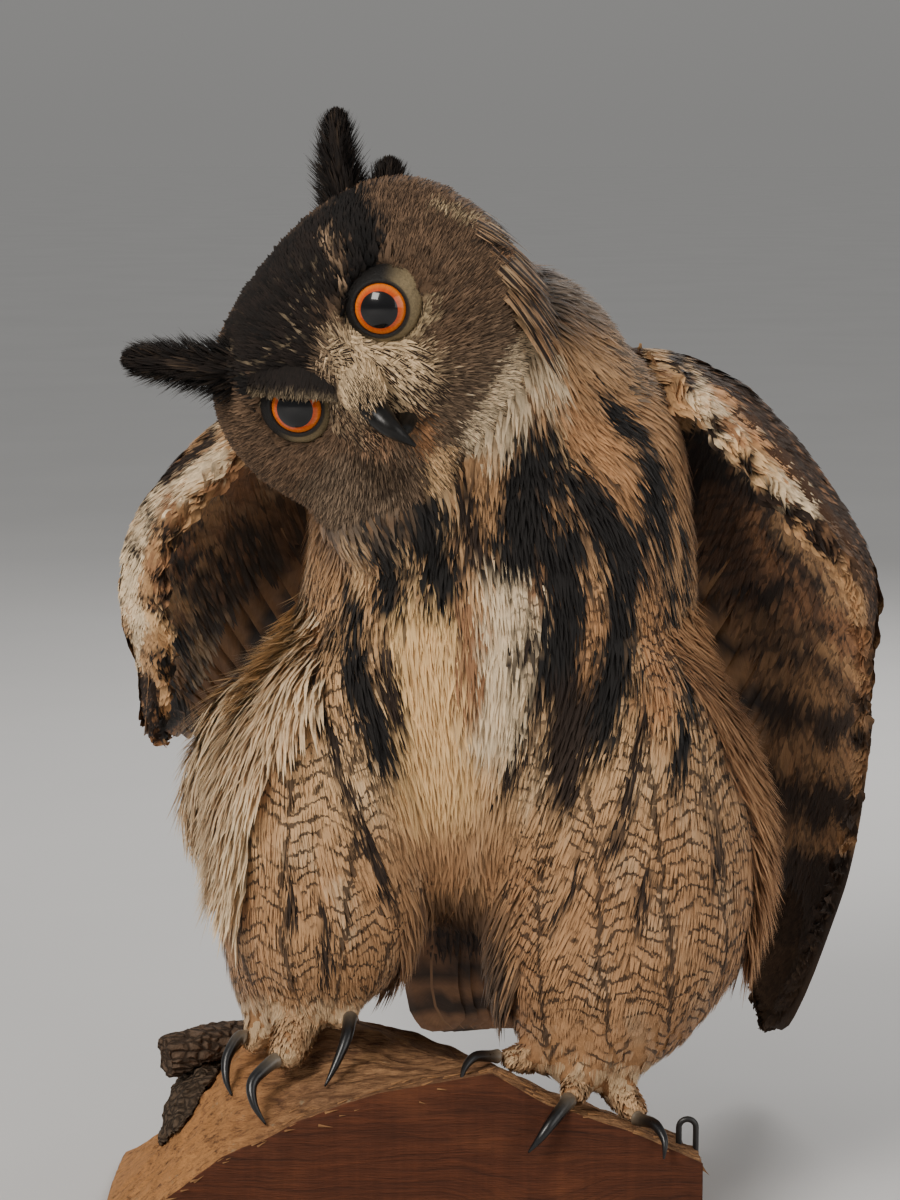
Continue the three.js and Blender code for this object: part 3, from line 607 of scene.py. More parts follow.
class SkinMap:
    """The finished skin as arrays, with its regions, for placing feathers on it."""

    def __init__(self, mesh, labels_of):
        self.co, self.tri, self.normal = mesh_arrays(mesh)
        self.tree = BVHTree.FromPolygons(self.co.tolist(), self.tri.tolist())
        p = self.co[self.tri]
        self.area = np.linalg.norm(np.cross(p[:, 1] - p[:, 0], p[:, 2] - p[:, 0]), axis=1) / 2
        self.centre = p.mean(1)
        self.face_normal = unit(self.normal[self.tri].mean(1))
        self.label = labels_of(self.centre)

    def nearest(self, points):
        spots, faces = np.empty_like(points), np.empty(len(points), int)
        for i, p in enumerate(points.tolist()):
            spot, _, face, _ = self.tree.find_nearest(p)
            spots[i], faces[i] = spot, face
        return spots, self.face_normal[faces]

    def scatter(self, weight, spacing, seed):
        """Points about spacing apart where weight is above 0, with their normals."""
        rng = np.random.default_rng(seed)
        share = self.area * weight
        count = int(5 * share.sum() / spacing**2)
        pick = rng.choice(len(share), count, p=share / share.sum())
        a, b = rng.random(count), rng.random(count)
        flip = a + b > 1
        a[flip], b[flip] = 1 - a[flip], 1 - b[flip]
        corner = self.co[self.tri[pick]]
        points = corner[:, 0] + a[:, None] * (corner[:, 1] - corner[:, 0]) + b[:, None] * (corner[:, 2] - corner[:, 0])
        cell = np.floor(points / spacing).astype(np.int64) + 4096
        key = (cell[:, 0] << 28) + (cell[:, 1] << 14) + cell[:, 2]
        _, first = np.unique(key, return_index=True)
        first = rng.permutation(first)
        return points[first], self.face_normal[pick[first]], self.label[pick[first]]


SKIN = {}


def node_labels():
    """A function that names the nearest CAD node of flesh for each of many points."""
    names = list(FLESH_DEPTH) + TOES
    co, tri, owner, first = [], [], [], 0
    for k, name in enumerate(names):
        c, t, _ = mesh_arrays(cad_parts[name].data)
        co.append(c)
        tri.append(t + first)
        owner.append(np.full(len(t), k))
        first += len(c)
    tree = BVHTree.FromPolygons(np.concatenate(co).tolist(), np.concatenate(tri).tolist())
    owner = np.concatenate(owner)

    def labels(points):
        return np.array([owner[tree.find_nearest(p)[2]] for p in points.tolist()])

    return names, labels


def sink_skin(obj, names, labels):
    """Moves the skin in by the coat's depth, which changes smoothly from node to node."""
    co, tri, normal = mesh_arrays(obj.data)
    depth_of = np.array([FLESH_DEPTH.get(n, TOE_DEPTH) for n in names])
    depth = depth_of[labels(co)]
    ends = np.concatenate([tri[:, [0, 1]], tri[:, [1, 2]], tri[:, [2, 0]]])
    count = np.maximum(np.bincount(ends.ravel(), minlength=len(co)), 1)
    for _ in range(12):
        total = np.bincount(ends[:, 0], depth[ends[:, 1]], len(co)) + np.bincount(ends[:, 1], depth[ends[:, 0]], len(co))
        depth = total / count
    for _ in range(4):
        mean = np.stack([
            np.bincount(ends[:, 0], normal[ends[:, 1], k], len(co)) + np.bincount(ends[:, 1], normal[ends[:, 0], k], len(co))
            for k in range(3)
        ], axis=1)
        normal = unit(mean)
    moved = co - normal * depth[:, None] * MM
    obj.data.vertices.foreach_set("co", moved.astype(np.float32).ravel())
    obj.data.update()


# ------------------------------------------------------------------ marks and the lie of the coat


def paint(points, normals, colour, marks, blur=0.35):
    """Lays each mark over the colour: its distance is measured in the plane of the skin."""
    dark = np.zeros(len(points))
    torn = ripple(points * [1, 1, 0.45], 0.0045, 17)
    for kind, half, spots in marks:
        spots = np.array(spots) * MM
        reach = half * MM * (1 + blur)
        low, high = spots.min(0) - reach - 0.02, spots.max(0) + reach + 0.02
        near = np.nonzero(np.all((points > low) & (points < high), axis=1))[0]
        if not len(near):
            continue
        p, n = points[near], normals[near]
        best = np.full(len(near), 1.0)
        for a, b in zip(spots[:-1], spots[1:]):
            run = b - a
            t = np.clip(((p - a) @ run) / (run @ run), 0, 1)
            off = p - (a + t[:, None] * run)
            rise = (off * n).sum(1)
            off = off - rise[:, None] * n
            gap = np.linalg.norm(off, axis=1) + np.maximum(np.abs(rise) - 0.016, 0) * 2
            best = np.minimum(best, gap)
        is_dark = kind in ("black", "dark", "crown")
        best = best - (0.08 * half * MM if is_dark and half > 4 else 0)
        best = best + (torn[near] - 0.5) * min(half, 7.0) * 0.75 * MM
        cover = smooth(reach, half * MM * (1 - blur), best)
        target = linear(COLOURS[kind])
        colour[near] += (target - colour[near]) * cover[:, None]
        dark[near] = dark[near] * (1 - cover) + (cover if is_dark else 0)
    return colour, dark


def blend_towards(colour, kind, amount):
    return colour + (linear(COLOURS[kind]) - colour) * np.clip(amount, 0, 1)[:, None]


def body_colour(points, normals):
    """The ground colour of neck, trunk and legs, then their marks."""
    x, y, z = (points / MM).T
    colour = np.tile(linear(COLOURS["tan"]), (len(points), 1))
    colour = blend_towards(colour, "orange", 0.45 * smooth(300, 380, z))
    colour = blend_towards(colour, "cream", 0.75 * smooth(330, 250, z))
    colour = blend_towards(colour, "leg", smooth(250, 190, z))
    # Painted shade: darker low down and towards the back.
    colour = blend_towards(colour, "shade", 0.5 * smooth(200, 120, z) * smooth(-30, 30, y))
    colour = blend_towards(colour, "orange", 0.4 * smooth(0.1, 0.7, ripple(points, 0.05, 26)) * smooth(340, 260, z))
    colour = blend_towards(colour, "white", 0.4 * smooth(0.2, 0.8, ripple(points, 0.034, 27)) * smooth(280, 230, z))
    # Painted shade: the owl's left leg is darker and warmer, as the side in shade.
    colour = blend_towards(colour, "rust", 0.3 * smooth(30, 90, x) * smooth(300, 230, z))
    # Painted shade: darker between the legs and low down.
    inner = smooth(46, 22, np.abs(x - 10)) * smooth(240, 190, z)
    colour = blend_towards(colour, "rust", 0.5 * inner + 0.28 * smooth(170, 110, z))
    back = smooth(-0.1, 0.45, normals[:, 1]) * smooth(140, 230, z)
    mottled = 0.75 + 0.35 * ripple(points, 0.03, 5)
    colour = blend_towards(colour, "back", back * mottled)
    colour = blend_towards(colour, "nape", smooth(430, 465, z) * smooth(0.0, 0.5, normals[:, 1]))
    return paint(points, normals, colour, BODY_MARKS)


def head_colour(points, normals):
    left, ahead, up = head_coords(points)
    colour = np.tile(linear(COLOURS["grey"]), (len(points), 1))
    colour = blend_towards(colour, "beard", 0.8 * smooth(-30, -55, up) * smooth(-40, 0, ahead))
    colour = blend_towards(colour, "crown", smooth(14, 30, up) * smooth(46, 24, np.abs(left)))
    colour = blend_towards(colour, "back", smooth(-45, -80, ahead))
    front = smooth(14, 24, up) * smooth(56, 40, up) * smooth(44, 30, np.abs(left)) * smooth(-20, 0, ahead)
    flecks = front * smooth(0.55, 0.72, ripple(points, 0.0045, 45))
    warm = 0.5 + 0.5 * ripple(points, 0.018, 3)
    colour = blend_towards(colour, "brow", 0.22 * warm)
    colour, dark = paint(points, normals, colour, HEAD_MARKS + BODY_MARKS[16:20])
    return blend_towards(colour, "lash", 0.55 * flecks), dark


def fern_places(points, normals):
    """Column, row and strength of the thin V-shaped bars on legs, flanks and lower breast."""
    x, y, z = (points / MM).T
    levels = [90, 150, 250, 350]
    middle = np.where(x > 12, np.interp(z, levels, [94, 90, 80, 62]), np.interp(z, levels, [-64, -66, -60, -40]))
    deep = np.interp(z, [90, 250, 350], [-12, -22, -15])
    turn = np.arctan2(x - middle, deep - y) / (2 * math.pi)
    strength = 0.85 * smooth(372, 325, z) * smooth(22, 40, np.abs(x)) * smooth(0.7, 0.3, normals[:, 1])
    strength = np.where(z < 190, 0.85 * smooth(0.7, 0.3, normals[:, 1]) * smooth(2, 22, np.abs(x - 10)), strength)
    strength = strength * smooth(0, 14, z - np.where(x > 0, 92, 118))
    return np.stack([turn * 13, -z / 7.0, strength], axis=1)


GUIDES = []


def guides():
    """Midpoints and directions of the marks' segments, which lie along the coat."""
    if not GUIDES:
        spots, runs = [], []
        for _, _, points in BODY_MARKS:
            points = np.array(points) * MM
            for a, b in zip(points[:-1], points[1:]):
                for t in (0.2, 0.8):
                    spots.append(a + (b - a) * t)
                    runs.append(unit(b - a))
        GUIDES.extend([np.array(spots), np.array(runs)])
    return GUIDES


def body_lie(points, normals):
    x, y, z = (points / MM).T
    direction = np.zeros_like(points)
    direction[:, 2] = -1
    direction[:, 0] = -0.28 * (x - 20) / 100 * smooth(360, 300, z) + 0.5 * (x - 20) / 100 * smooth(360, 420, z)
    leg = smooth(230, 190, z)
    middle = np.where(x > 10, 88 - (210 - z) * 0.1, -66)
    direction[:, 0] += -0.3 * leg * (x - middle) / 60
    direction[:, 1] = 0.25 * smooth(-20, 60, y)
    spots, runs = guides()
    gap = ((points[:, None] - spots[None]) ** 2).sum(2)
    weight = np.exp(-gap / (2 * 0.020**2))
    direction = direction + 2.2 * weight @ runs
    return unit(direction - (direction * normals).sum(1)[:, None] * normals)


def neck_lie(points, normals):
    away = unit(points - head_point(0, -45, -5))
    direction = 0.7 * away + np.array([0, 0.1, -0.9])
    spots, runs = guides()
    weight = np.exp(-((points[:, None] - spots[None]) ** 2).sum(2) / (2 * 0.016**2))
    direction = direction + 1.5 * weight @ runs
    return unit(direction - (direction * normals).sum(1)[:, None] * normals)


def head_lie(points, normals):
    direction = unit(points - head_point(*FACE_CENTRE))
    _, ahead, up = head_coords(points)
    droop = smooth(-20, -70, ahead) * 0.6 + 0.25 * smooth(-35, -60, up)
    direction = direction + droop[:, None] * np.array([0, 0.2, -1.0])
    return unit(direction - (direction * normals).sum(1)[:, None] * normals)


def trail_paths(skin, points, normals, lie, length, steps):
    """Each root's path along the lie of the coat, on the skin: points and normals by step."""
    spots, turned = [points], [normals]
    for _ in range(steps):
        forward = lie(spots[-1], turned[-1])
        spot, normal = skin.nearest(spots[-1] + forward * (length / steps)[:, None])
        spots.append(spot)
        turned.append(unit(0.5 * turned[-1] + normal))
    return np.stack(spots, 1), np.stack(turned, 1)


# ------------------------------------------------------------------ feathers


def free_cells(place, cell):
    """Each place moved to the middle of a free cell of an even grid, the nearest that is left."""
    across = int(1 / cell) - 2
    home = np.clip((place * across).astype(int), 0, across - 1)
    taken, result = set(), np.empty_like(place)
    for k, (i, j) in enumerate(home.tolist()):
        reach = 0
        while True:
            ring = [
                (i + di, j + dj)
                for di in range(-reach, reach + 1)
                for dj in range(-reach, reach + 1)
                if max(abs(di), abs(dj)) == reach
            ]
            spot = next((c for c in ring if c not in taken and 0 <= c[0] < across and 0 <= c[1] < across), None)
            if spot is not None:
                break
            reach += 1
        taken.add(spot)
        result[k] = (spot[0] + 1.5, spot[1] + 1.5)
    return result * cell


def at_path(path, q):
    """Points of paths (n, steps + 1, 3) at fractional steps q (n, f)."""
    last = path.shape[1] - 1
    q = np.clip(q, 0, last - 1e-6)
    i = q.astype(int)
    row = np.arange(len(path))[:, None]
    part = (q - i)[..., None]
    return path[row, i] * (1 - part) + path[row, i + 1] * part


def plumes(name, paths, normals, width, lift, colour_of, rng, fingers=7, steps=3, fray=0.3, sink=0.8,
           shaft=0.1, bars=0.0, curl=0.0, spread=1.0, unwrap=None, patch=0.003, ragged=0.004, tips=0.25, speckle=0.08, streak=0.1, ferns=None):
    """Soft feathers: each is a fan of narrow barb locks that part towards their tips."""
    n = len(paths)
    run = unit(np.diff(paths, axis=1))
    run = np.concatenate([run, run[:, -1:]], axis=1)
    across = unit(np.cross(normals, run))
    last = paths.shape[1] - 1
    even = (np.arange(fingers) - (fingers - 1) / 2) / max((fingers - 1) / 2, 1)
    a = even[None] + rng.uniform(-0.5, 0.5, (n, fingers)) / fingers
    reach = 1 - 0.38 * a**2 - fray * rng.random((n, fingers)) * 0.6
    drift = rng.normal(0, fray * 0.35, (n, fingers))
    rise = rng.normal(0, fray * 0.22, (n, fingers))
    width, lift = np.broadcast_to(width, n)[:, None], np.broadcast_to(lift, n)[:, None]
    verts, vane, centre, up = [], [], [], []
    for k in range(steps + 1):
        u = k / steps
        q = u * reach * last
        middle, normal, side = at_path(paths, q), at_path(normals, q), at_path(across, q)
        open_at = 0.3 + 0.7 * math.sin(min(u / 0.65, 1) * math.pi / 2)
        offset = (a * open_at * spread + drift * u * u) * width / 2
        height = -sink * MM + (lift + sink * MM) * u**0.75 + lift * curl * u**3
        height = height + rise * u * u * lift - 0.12 * width * a**2 * open_at
        at = middle + side * offset[..., None] + normal * height[..., None]
        half = width / fingers * (0.95 if k else 0.7) * (1.0 if u < 0.6 else 0.8)
        centre.append(middle + side * offset[..., None])
        up.append(normal)
        tip = k == steps
        for hand in ((0.0,) if tip else (-1.0, 1.0)):
            verts.append(at + side * (hand * half)[..., None])
            place = 0.5 + 0.5 * np.clip(a + hand * half / (width / 2), -1, 1)
            vane.append(np.stack([place, u * reach], axis=2))
    verts, vane = np.stack(verts, 2), np.stack(vane, 2)
    per = verts.shape[2]
    centre, up = np.stack(centre, 2), np.stack(up, 2)
    jitter = rng.normal(0, ragged, (n, fingers, 1, 1)) * unit(np.diff(centre, axis=2)[:, :, :1])
    astray = rng.normal(0, ragged * 0.45, (n, 1, 1)) + rng.normal(0, ragged * 0.3, (n, fingers, 1))
    flat = (centre + jitter + across[:, :1, None] * astray[..., None]).reshape(-1, 3)
    tint, dark = colour_of(flat, up.reshape(-1, 3))
    tint, dark = tint.reshape(n, fingers, steps + 1, 3), dark.reshape(n, fingers, steps + 1)
    which = np.repeat(np.arange(steps + 1), 2)[:-1]
    vectors = {}
    if ferns is not None:
        fern = ferns(centre.reshape(-1, 3), up.reshape(-1, 3)).reshape(n, fingers, steps + 1, 3)
        fern[..., 2] *= 1 - dark
        fern[..., 0:2] += rng.normal(0, 1, (n, 1, 1, 2)) * [0.02, 0.05]
        vectors["Fern"] = fern[:, :, which].reshape(-1, 3)
    tint = tint * rng.uniform(1 - 1.5 * speckle, 1 + 1.5 * speckle, (n, 1, 1, 1)) * rng.uniform(1 - streak, 1 + streak, (n, fingers, 1, 1))
    tint = tint * (1 - tips + 1.5 * tips * np.linspace(0, 1, steps + 1))[None, None, :, None]
    mark = np.zeros((n, fingers, per, 3))
    clear = 1 - dark[:, :, which]
    mark[..., 0] = np.broadcast_to(shaft, n)[:, None, None] * clear
    mark[..., 1] = np.broadcast_to(bars, n)[:, None, None] * clear
    mark[..., 2] = rng.random((n, 1, 1))
    base = np.arange(n * fingers)[:, None] * per
    quads = np.concatenate([base + np.array([2 * k, 2 * k + 1, 2 * k + 3, 2 * k + 2]) for k in range(steps - 1)])
    tris = base + np.array([2 * steps - 2, 2 * steps - 1, 2 * steps])
    cells = free_cells(unwrap(paths[:, 0]), patch * 1.15)
    bake = cells[:, None, None] + (vane - 0.5) * patch
    return make_mesh(
        name, verts.reshape(-1, 3), quads, tris,
        uvs={"Vane": vane.reshape(-1, 2), "OFBake": bake.reshape(-1, 2)},
        colours={"Tint": tint[:, :, which].reshape(-1, 3)}, vectors={"Mark": mark.reshape(-1, 3), **vectors},
    )


def vanes(name, paths, normals, width, height, colour_of, rng, rows=7, columns=4, camber=0.1, shingle=0.0,
          shaft=0.06, bars=1.0, tip=0.5, unwrap=None, patch=0.003, thick=0.0, stalk=0.35, cells=None):
    """Firm feathers: each is one rounded blade, laid like a shingle, with thickness if asked."""
    n = len(paths)
    last = paths.shape[1] - 1
    run = unit(np.gradient(paths, axis=1))
    across = unit(np.cross(normals, run))
    u = np.linspace(0, 1, rows + 1)
    v = np.linspace(-1, 1, columns + 1)
    q = np.tile(u * last, (n, 1))
    middle, normal, side = at_path(paths, q), at_path(normals, q), at_path(across, q)
    body = stalk + (1 - stalk) * smooth(0, 0.45, u)
    end = np.sqrt(np.clip(1 - (np.clip(u - (1 - tip), 0, 1) / tip) ** 2, 0.012, 1))
    half = np.broadcast_to(width, n)[:, None] / 2 * body * end
    lift = np.broadcast_to(height, (n, rows + 1)) if np.ndim(height) < 2 else height
    verts = (
        middle[:, :, None]
        + side[:, :, None] * (half[:, :, None] * v)[..., None]
        + normal[:, :, None] * (lift[:, :, None] - camber * half[:, :, None] * v**2 + shingle * half[:, :, None] * v)[..., None]
    )
    vane = np.broadcast_to(np.stack(np.meshgrid(u, 0.5 + v / 2, indexing="ij")[::-1], 2), (n, rows + 1, columns + 1, 2))
    tint, dark = colour_of(verts.reshape(-1, 3), np.broadcast_to(normal[:, :, None], verts.shape).reshape(-1, 3))
    tint = tint.reshape(verts.shape) * rng.uniform(0.88, 1.1, (n, 1, 1, 1))
    mark = np.zeros(verts.shape)
    clear = 1 - dark.reshape(verts.shape[:3])
    mark[..., 0] = shaft * clear
    mark[..., 1] = np.broadcast_to(bars, n)[:, None, None] * clear
    mark[..., 2] = rng.random((n, 1, 1))
    i, j = np.meshgrid(np.arange(rows), np.arange(columns), indexing="ij")
    c = columns + 1
    one = (i * c + j).ravel()
    quad = np.stack([one, one + 1, one + c + 1, one + c], axis=1)
    per = (rows + 1) * c
    quads = (quad[None] + (np.arange(n) * per)[:, None, None]).reshape(-1, 4)
    if cells is None:
        cells = free_cells(unwrap(paths[:, 0]), patch * 1.15)
        size = np.array([patch, patch])
    else:
        cells, size = cells
    bake = cells[:, None, None] + (vane - 0.5) * size
    parts = [verts.reshape(-1, 3), vane.reshape(-1, 2), bake.reshape(-1, 2), tint.reshape(-1, 3), mark.reshape(-1, 3)]
    if thick:
        low = (verts - normal[:, :, None] * thick).reshape(-1, 3)
        edge = np.concatenate([
            np.arange(columns), np.arange(rows) * c + columns,
            rows * c + np.arange(columns, 0, -1), np.arange(rows, 0, -1) * c,
        ])
        after = np.roll(edge, -1)
        total = len(low)
        rim = np.stack([after, edge, edge + total, after + total], axis=1)
        rims = (rim[None] + (np.arange(n) * per)[:, None, None]).reshape(-1, 4)
        quads = np.concatenate([quads, quads[:, ::-1] + total, rims])
        parts = [np.concatenate([part, low if k == 0 else part]) for k, part in enumerate(parts)]
    return make_mesh(
        name, parts[0], quads, uvs={"Vane": parts[1], "OFBake": parts[2]},
        colours={"Tint": parts[3]}, vectors={"Mark": parts[4]},
    )


# ------------------------------------------------------------------ unwraps for the baked maps


def round_axis(centre, low, high, axis=2):
    """Unwraps roots round an upright line through centre, between two heights."""
    def unwrap(points):
        x, y = points[:, 0] / MM - centre[0], points[:, 1] / MM - centre[1]
        turn = (np.arctan2(x, y) / (2 * math.pi)) % 1
        height = (points[:, axis] / MM - low) / (high - low)
        return np.clip(np.stack([turn, height], 1), 0.0, 0.999)
    return unwrap


def round_head(points):
    """Unwraps roots of the head round the line from the nape out through the face."""
    left, ahead, up = head_coords(points)
    turn = (np.arctan2(left, up + 9) / (2 * math.pi)) % 1
    depth = (12 - ahead) / 125
    reach = 0.45 * np.hypot(left, up + 9) / 90 + 0.55 * np.clip(depth, 0, 1)
    return np.clip(np.stack([turn, reach * 0.98], 1), 0.0, 0.999)


# ------------------------------------------------------------------ wings


def wing_at(side, s, t):
    """Middle of the wing plate and its upper normal at span s and chord t."""
    shape = WINGS[side]
    front, back = along(shape["lead"], s), along(shape["trail"], s)
    ahead, behind = along(shape["lead"], np.minimum(s + 0.02, 1)), along(shape["lead"], np.maximum(s - 0.02, 0))
    chord = back - front
    normal = unit(np.cross(ahead - behind, chord))
    depth = np.minimum(1, np.linalg.norm(chord, axis=-1) / 90)
    bulge = along(shape["hollow"], s)[..., 0] * np.sin(math.pi * np.clip(t, 0, 1) ** 0.6) * depth
    point = front + chord * t[..., None] + normal * bulge[..., None]
    hand = 1 if side == "left" else -1
    return point * MM, normal * hand


def wing_half(s, t):
    """Half the thickness of the wing plate."""
    share = np.clip(t, 0, 1) ** 0.6
    body = along(WING_THICK, s)[..., 0] * (1 - share) + along(WING_THIN, s)[..., 0] * share
    edge = np.sqrt(np.clip(np.minimum(t / 0.08, (1 - t) / 0.04), 0, 1))
    return body / 2 * np.maximum(0.25, edge) * MM


def wing_frame(side, s, t):
    """Unit directions along the span and the chord, and how far a unit of each reaches."""
    e = 0.01
    p0, _ = wing_at(side, np.clip(s - e, 0, 1), t)
    p1, _ = wing_at(side, np.clip(s + e, 0, 1), t)
    q0, _ = wing_at(side, s, np.clip(t - e, 0.001, 1))
    q1, _ = wing_at(side, s, np.clip(t + e, 0.001, 1))
    span, chord = (p1 - p0) / (2 * e), (q1 - q0) / (2 * e)
    return np.linalg.norm(span, axis=-1), np.linalg.norm(chord, axis=-1)


def wing_paths(side, face, s, t, length, steps, angle, lift):
    """Feather paths over the upper (1) or under (-1) face of a wing, from span and chord roots."""
    spots, turned = [], []
    for k in range(steps + 1):
        tt = np.clip(t, 0.004, 0.995)
        point, normal = wing_at(side, np.clip(s, 0, 1), tt)
        out = wing_half(np.clip(s, 0, 1), tt) - 1.2 * MM + lift * (k / steps)
        spots.append(point + normal * face * out[:, None])
        turned.append(normal * face)
        reach_s, reach_t = wing_frame(side, np.clip(s, 0, 1), tt)
        turn = angle(s, t)
        s = s + np.sin(turn) * length / steps / np.maximum(reach_s, 1e-4)
        t = t + np.cos(turn) * length / steps / np.maximum(reach_t, 1e-4)
    return np.stack(spots, 1), np.stack(turned, 1)


def covert_turn(s, t):
    """How far the coverts' lie turns from the chord towards the wing tip."""
    chordwise = 18 + 58 * smooth(0.25, 0.8, s) - 10 * smooth(0.3, 0.0, s)
    return np.radians(chordwise + (60 - chordwise) * smooth(0.24, 0.06, t) * (chordwise < 60))


# ------------------------------------------------------------------ builders


def wing_shell(side, end_chord=0.62, inset=5.0):
    """The fleshy part of a wing as a closed blade inside its coat."""
    spans = np.linspace(0.0, 0.9, 26)
    around = np.linspace(0, 1, 13)
    rings = []
    for s in spans:
        reach = end_chord * (1 - 0.35 * smooth(0.5, 0.9, s))
        t = 0.03 + around * (reach - 0.03)
        ss = np.full_like(t, s)
        point, normal = wing_at(side, ss, t)
        half = np.maximum(wing_half(ss, t) - inset * MM, 0.5 * MM) * np.sqrt(np.clip(4 * around * (1 - around) + 0.05, 0, 1))
        upper, under = point + normal * half[:, None], point - normal * half[:, None]
        rings.append(np.concatenate([upper, under[::-1]]))
    return rings_mesh(np.array(rings))


def keyed_rings(keys, count, across, deep, shrink, sides=16, square=2.0):
    """Rings of [x, y, z, half width, half depth] keys along fixed cross axes, drawn in by shrink."""
    rows = along(keys, np.linspace(0, 1, count + 1)) * MM
    angle = np.linspace(0, 2 * math.pi, sides, endpoint=False)
    c, s = np.cos(angle), np.sin(angle)
    c, s = np.sign(c) * np.abs(c) ** (2 / square), np.sign(s) * np.abs(s) ** (2 / square)
    wide = np.maximum(rows[:, 3] - shrink * MM, 0.4 * MM)[:, None, None]
    deep_half = np.maximum(rows[:, 4] - shrink * MM, 0.4 * MM)[:, None, None]
    return rows[:, None, :3] + np.asarray(across) * (c[None, :, None] * wide) + np.asarray(deep) * (s[None, :, None] * deep_half)


TAIL_ACROSS = np.array([1.0, 0, 0])
TAIL_DEEP = unit(np.cross([1.0, 0, 0], [0, 0.56, -0.83]))


def build_skin(settings):
    names, labels = node_labels()
    parts = []
    for name in names:
        co, tri, _ = mesh_arrays(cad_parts[name].data)
        parts.append((co, np.zeros((0, 4), int), tri))
    co, quads, tris = join_parts(parts)
    skin = make_mesh("skin", co, quads, tris)
    remeshed(skin, settings.skin_cell * 1.15, 6)
    sink_skin(skin, names, labels)
    remeshed(skin, settings.skin_cell, 4)
    body = skin.data
    blades = [wing_shell("left"), wing_shell("right")]
    blades.append(rings_mesh(keyed_rings(TAIL_KEYS[:5], 12, TAIL_ACROSS, TAIL_DEEP, 4, 18)))
    for key, keys in TUFTS.items():
        turned = key == "right"
        across = (0, 0, 1.0) if turned else (1.0, 0, 0)
        blades.append(rings_mesh(keyed_rings(keys[:-1], 8, across, (0, 1.0, 0), 6.5, 10)))
    co, tri, normal = mesh_arrays(body)
    SKIN["map"] = SkinMap(body, labels)
    SKIN["names"] = names
    whole = join_parts([(co, np.zeros((0, 4), int), tri)] + blades)
    kept = make_mesh("skin_whole", *whole)
    co, _, normal = mesh_arrays(kept.data)
    _, _, up = head_coords(co)
    near_head = labels(co) == names.index("head")
    tint, dark = body_colour(co, normal)
    head_tint, head_dark = head_colour(co, normal)
    tint[near_head] = head_tint[near_head]
    wing_part = np.arange(len(co)) >= len(body.vertices)
    tint[wing_part] = linear(COLOURS["plain"]) * 0.7
    layer = kept.data.attributes.new("Tint", "FLOAT_COLOR", "POINT")
    layer.data.foreach_set("color", np.concatenate([tint * 0.95, np.ones((len(co), 1))], axis=1).astype(np.float32).ravel())
    bpy.data.objects.remove(skin)
    kept.name = "skin"
    kept.data.name = "skin"
    s = Shader("skin_down", roughness=0.85, specular=0.2)
    speck = s.noise(s.place(), 260.0, 4.0, 0.65)
    fine = s.noise(s.scaled(s.place(), (1.0, 1.0, 0.35)), 900.0, 2.0)
    light = s.math("ADD", s.math("MULTIPLY", speck, 0.7), s.math("MULTIPLY", fine, 0.4))
    light = s.math("ADD", light, 0.42)
    s.bump(s.math("ADD", speck, fine), 0.7, 0.001)
    material = s.done(s.mix(1.0, s.attribute("Tint"), s.join(light, light, light), "MULTIPLY"))
    tufts = ["ear_tuft_left", "ear_tuft_right"]
    finish_piece(kept, material, "body_plumage", *names, "tail", *tufts, *WING_NODES)
    return kept


def chosen(*wanted):
    """1 for each face of the skin whose nearest node is one of those, 0 elsewhere."""
    names = SKIN["names"]
    index = [names.index(w) for w in wanted]
    return np.isin(SKIN["map"].label, index).astype(float)


def coat(name, weight, spacing, seed, lie, colour_of, length, width, lift, material, slot, unwrap, steps=3, length_of=None,
         skin=None, **look):
    """Scatters plumes over a zone of the skin and lays them along the coat."""
    skin = skin or SKIN["map"]
    rng = np.random.default_rng(seed)
    points, normals, _ = skin.scatter(weight, spacing * MM, seed)
    size = length * MM * rng.uniform(0.85, 1.15, len(points))
    if length_of is not None:
        size = size * length_of(points)
    paths, turned = trail_paths(skin, points, normals, lie, size, steps)
    ratio = size / (length * MM)
    obj = plumes(
        name, paths, turned, width * MM * ratio, lift * MM * np.minimum(ratio, 1.1), colour_of, rng,
        steps=steps, unwrap=unwrap, **look,
    )
    return finish_piece(obj, material, slot)


def body_material():
    if "body" not in SKIN:
        SKIN["body"] = feather_material("body_plume", bars=6.0, slope=0.5, strands=44.0, fleck=0.22, ferns=True, depth=0.45)
    return SKIN["body"]


def leg_material():
    if "leg" not in SKIN:
        SKIN["leg"] = feather_material("leg_plume", bars=8.0, slope=0.9, strands=40.0, fleck=0.2, ferns=True, depth=0.4)
    return SKIN["leg"]


def fur_material():
    if "fur" not in SKIN:
        SKIN["fur"] = feather_material("face_fur", bars=3.0, slope=0.2, strands=12.0, fleck=0.75, roughness=0.8, sheen=0.05)
    return SKIN["fur"]


def front_share():
    """How far each face of the skin belongs to the front rather than the back of the trunk."""
    skin = SKIN["map"]
    return smooth(0.25, -0.05, skin.face_normal[:, 1])


def vent_lie(points, normals):
    direction = np.tile([0.0, 0.12, -1.0], (len(points), 1))
    direction[:, 0] = -0.3 * (points[:, 0] - 0.010) / 0.04
    return unit(direction - 0.45 * (direction * normals).sum(1)[:, None] * normals)


def vent_colour(points, normals):
    # Painted shade: the vent's fluff between the legs is shade-dark brown, darker still low down, and blends to the leg
    # colour only at its edges and top.
    z = points[:, 2] / MM
    colour = np.tile(linear(COLOURS["shade"]), (len(points), 1))
    colour = blend_towards(colour, "leg", 0.3 * smooth(0.45, 0.75, ripple(points, 0.02, 19)))
    colour = blend_towards(colour, "mottle", 0.7 * smooth(180, 130, z))
    edge = np.abs(points[:, 0] / MM - 9) + 14 * ripple(points, 0.012, 20)
    return blend_towards(colour, "leg", np.maximum(smooth(24, 36, edge), smooth(165, 205, z))), np.zeros(len(points))


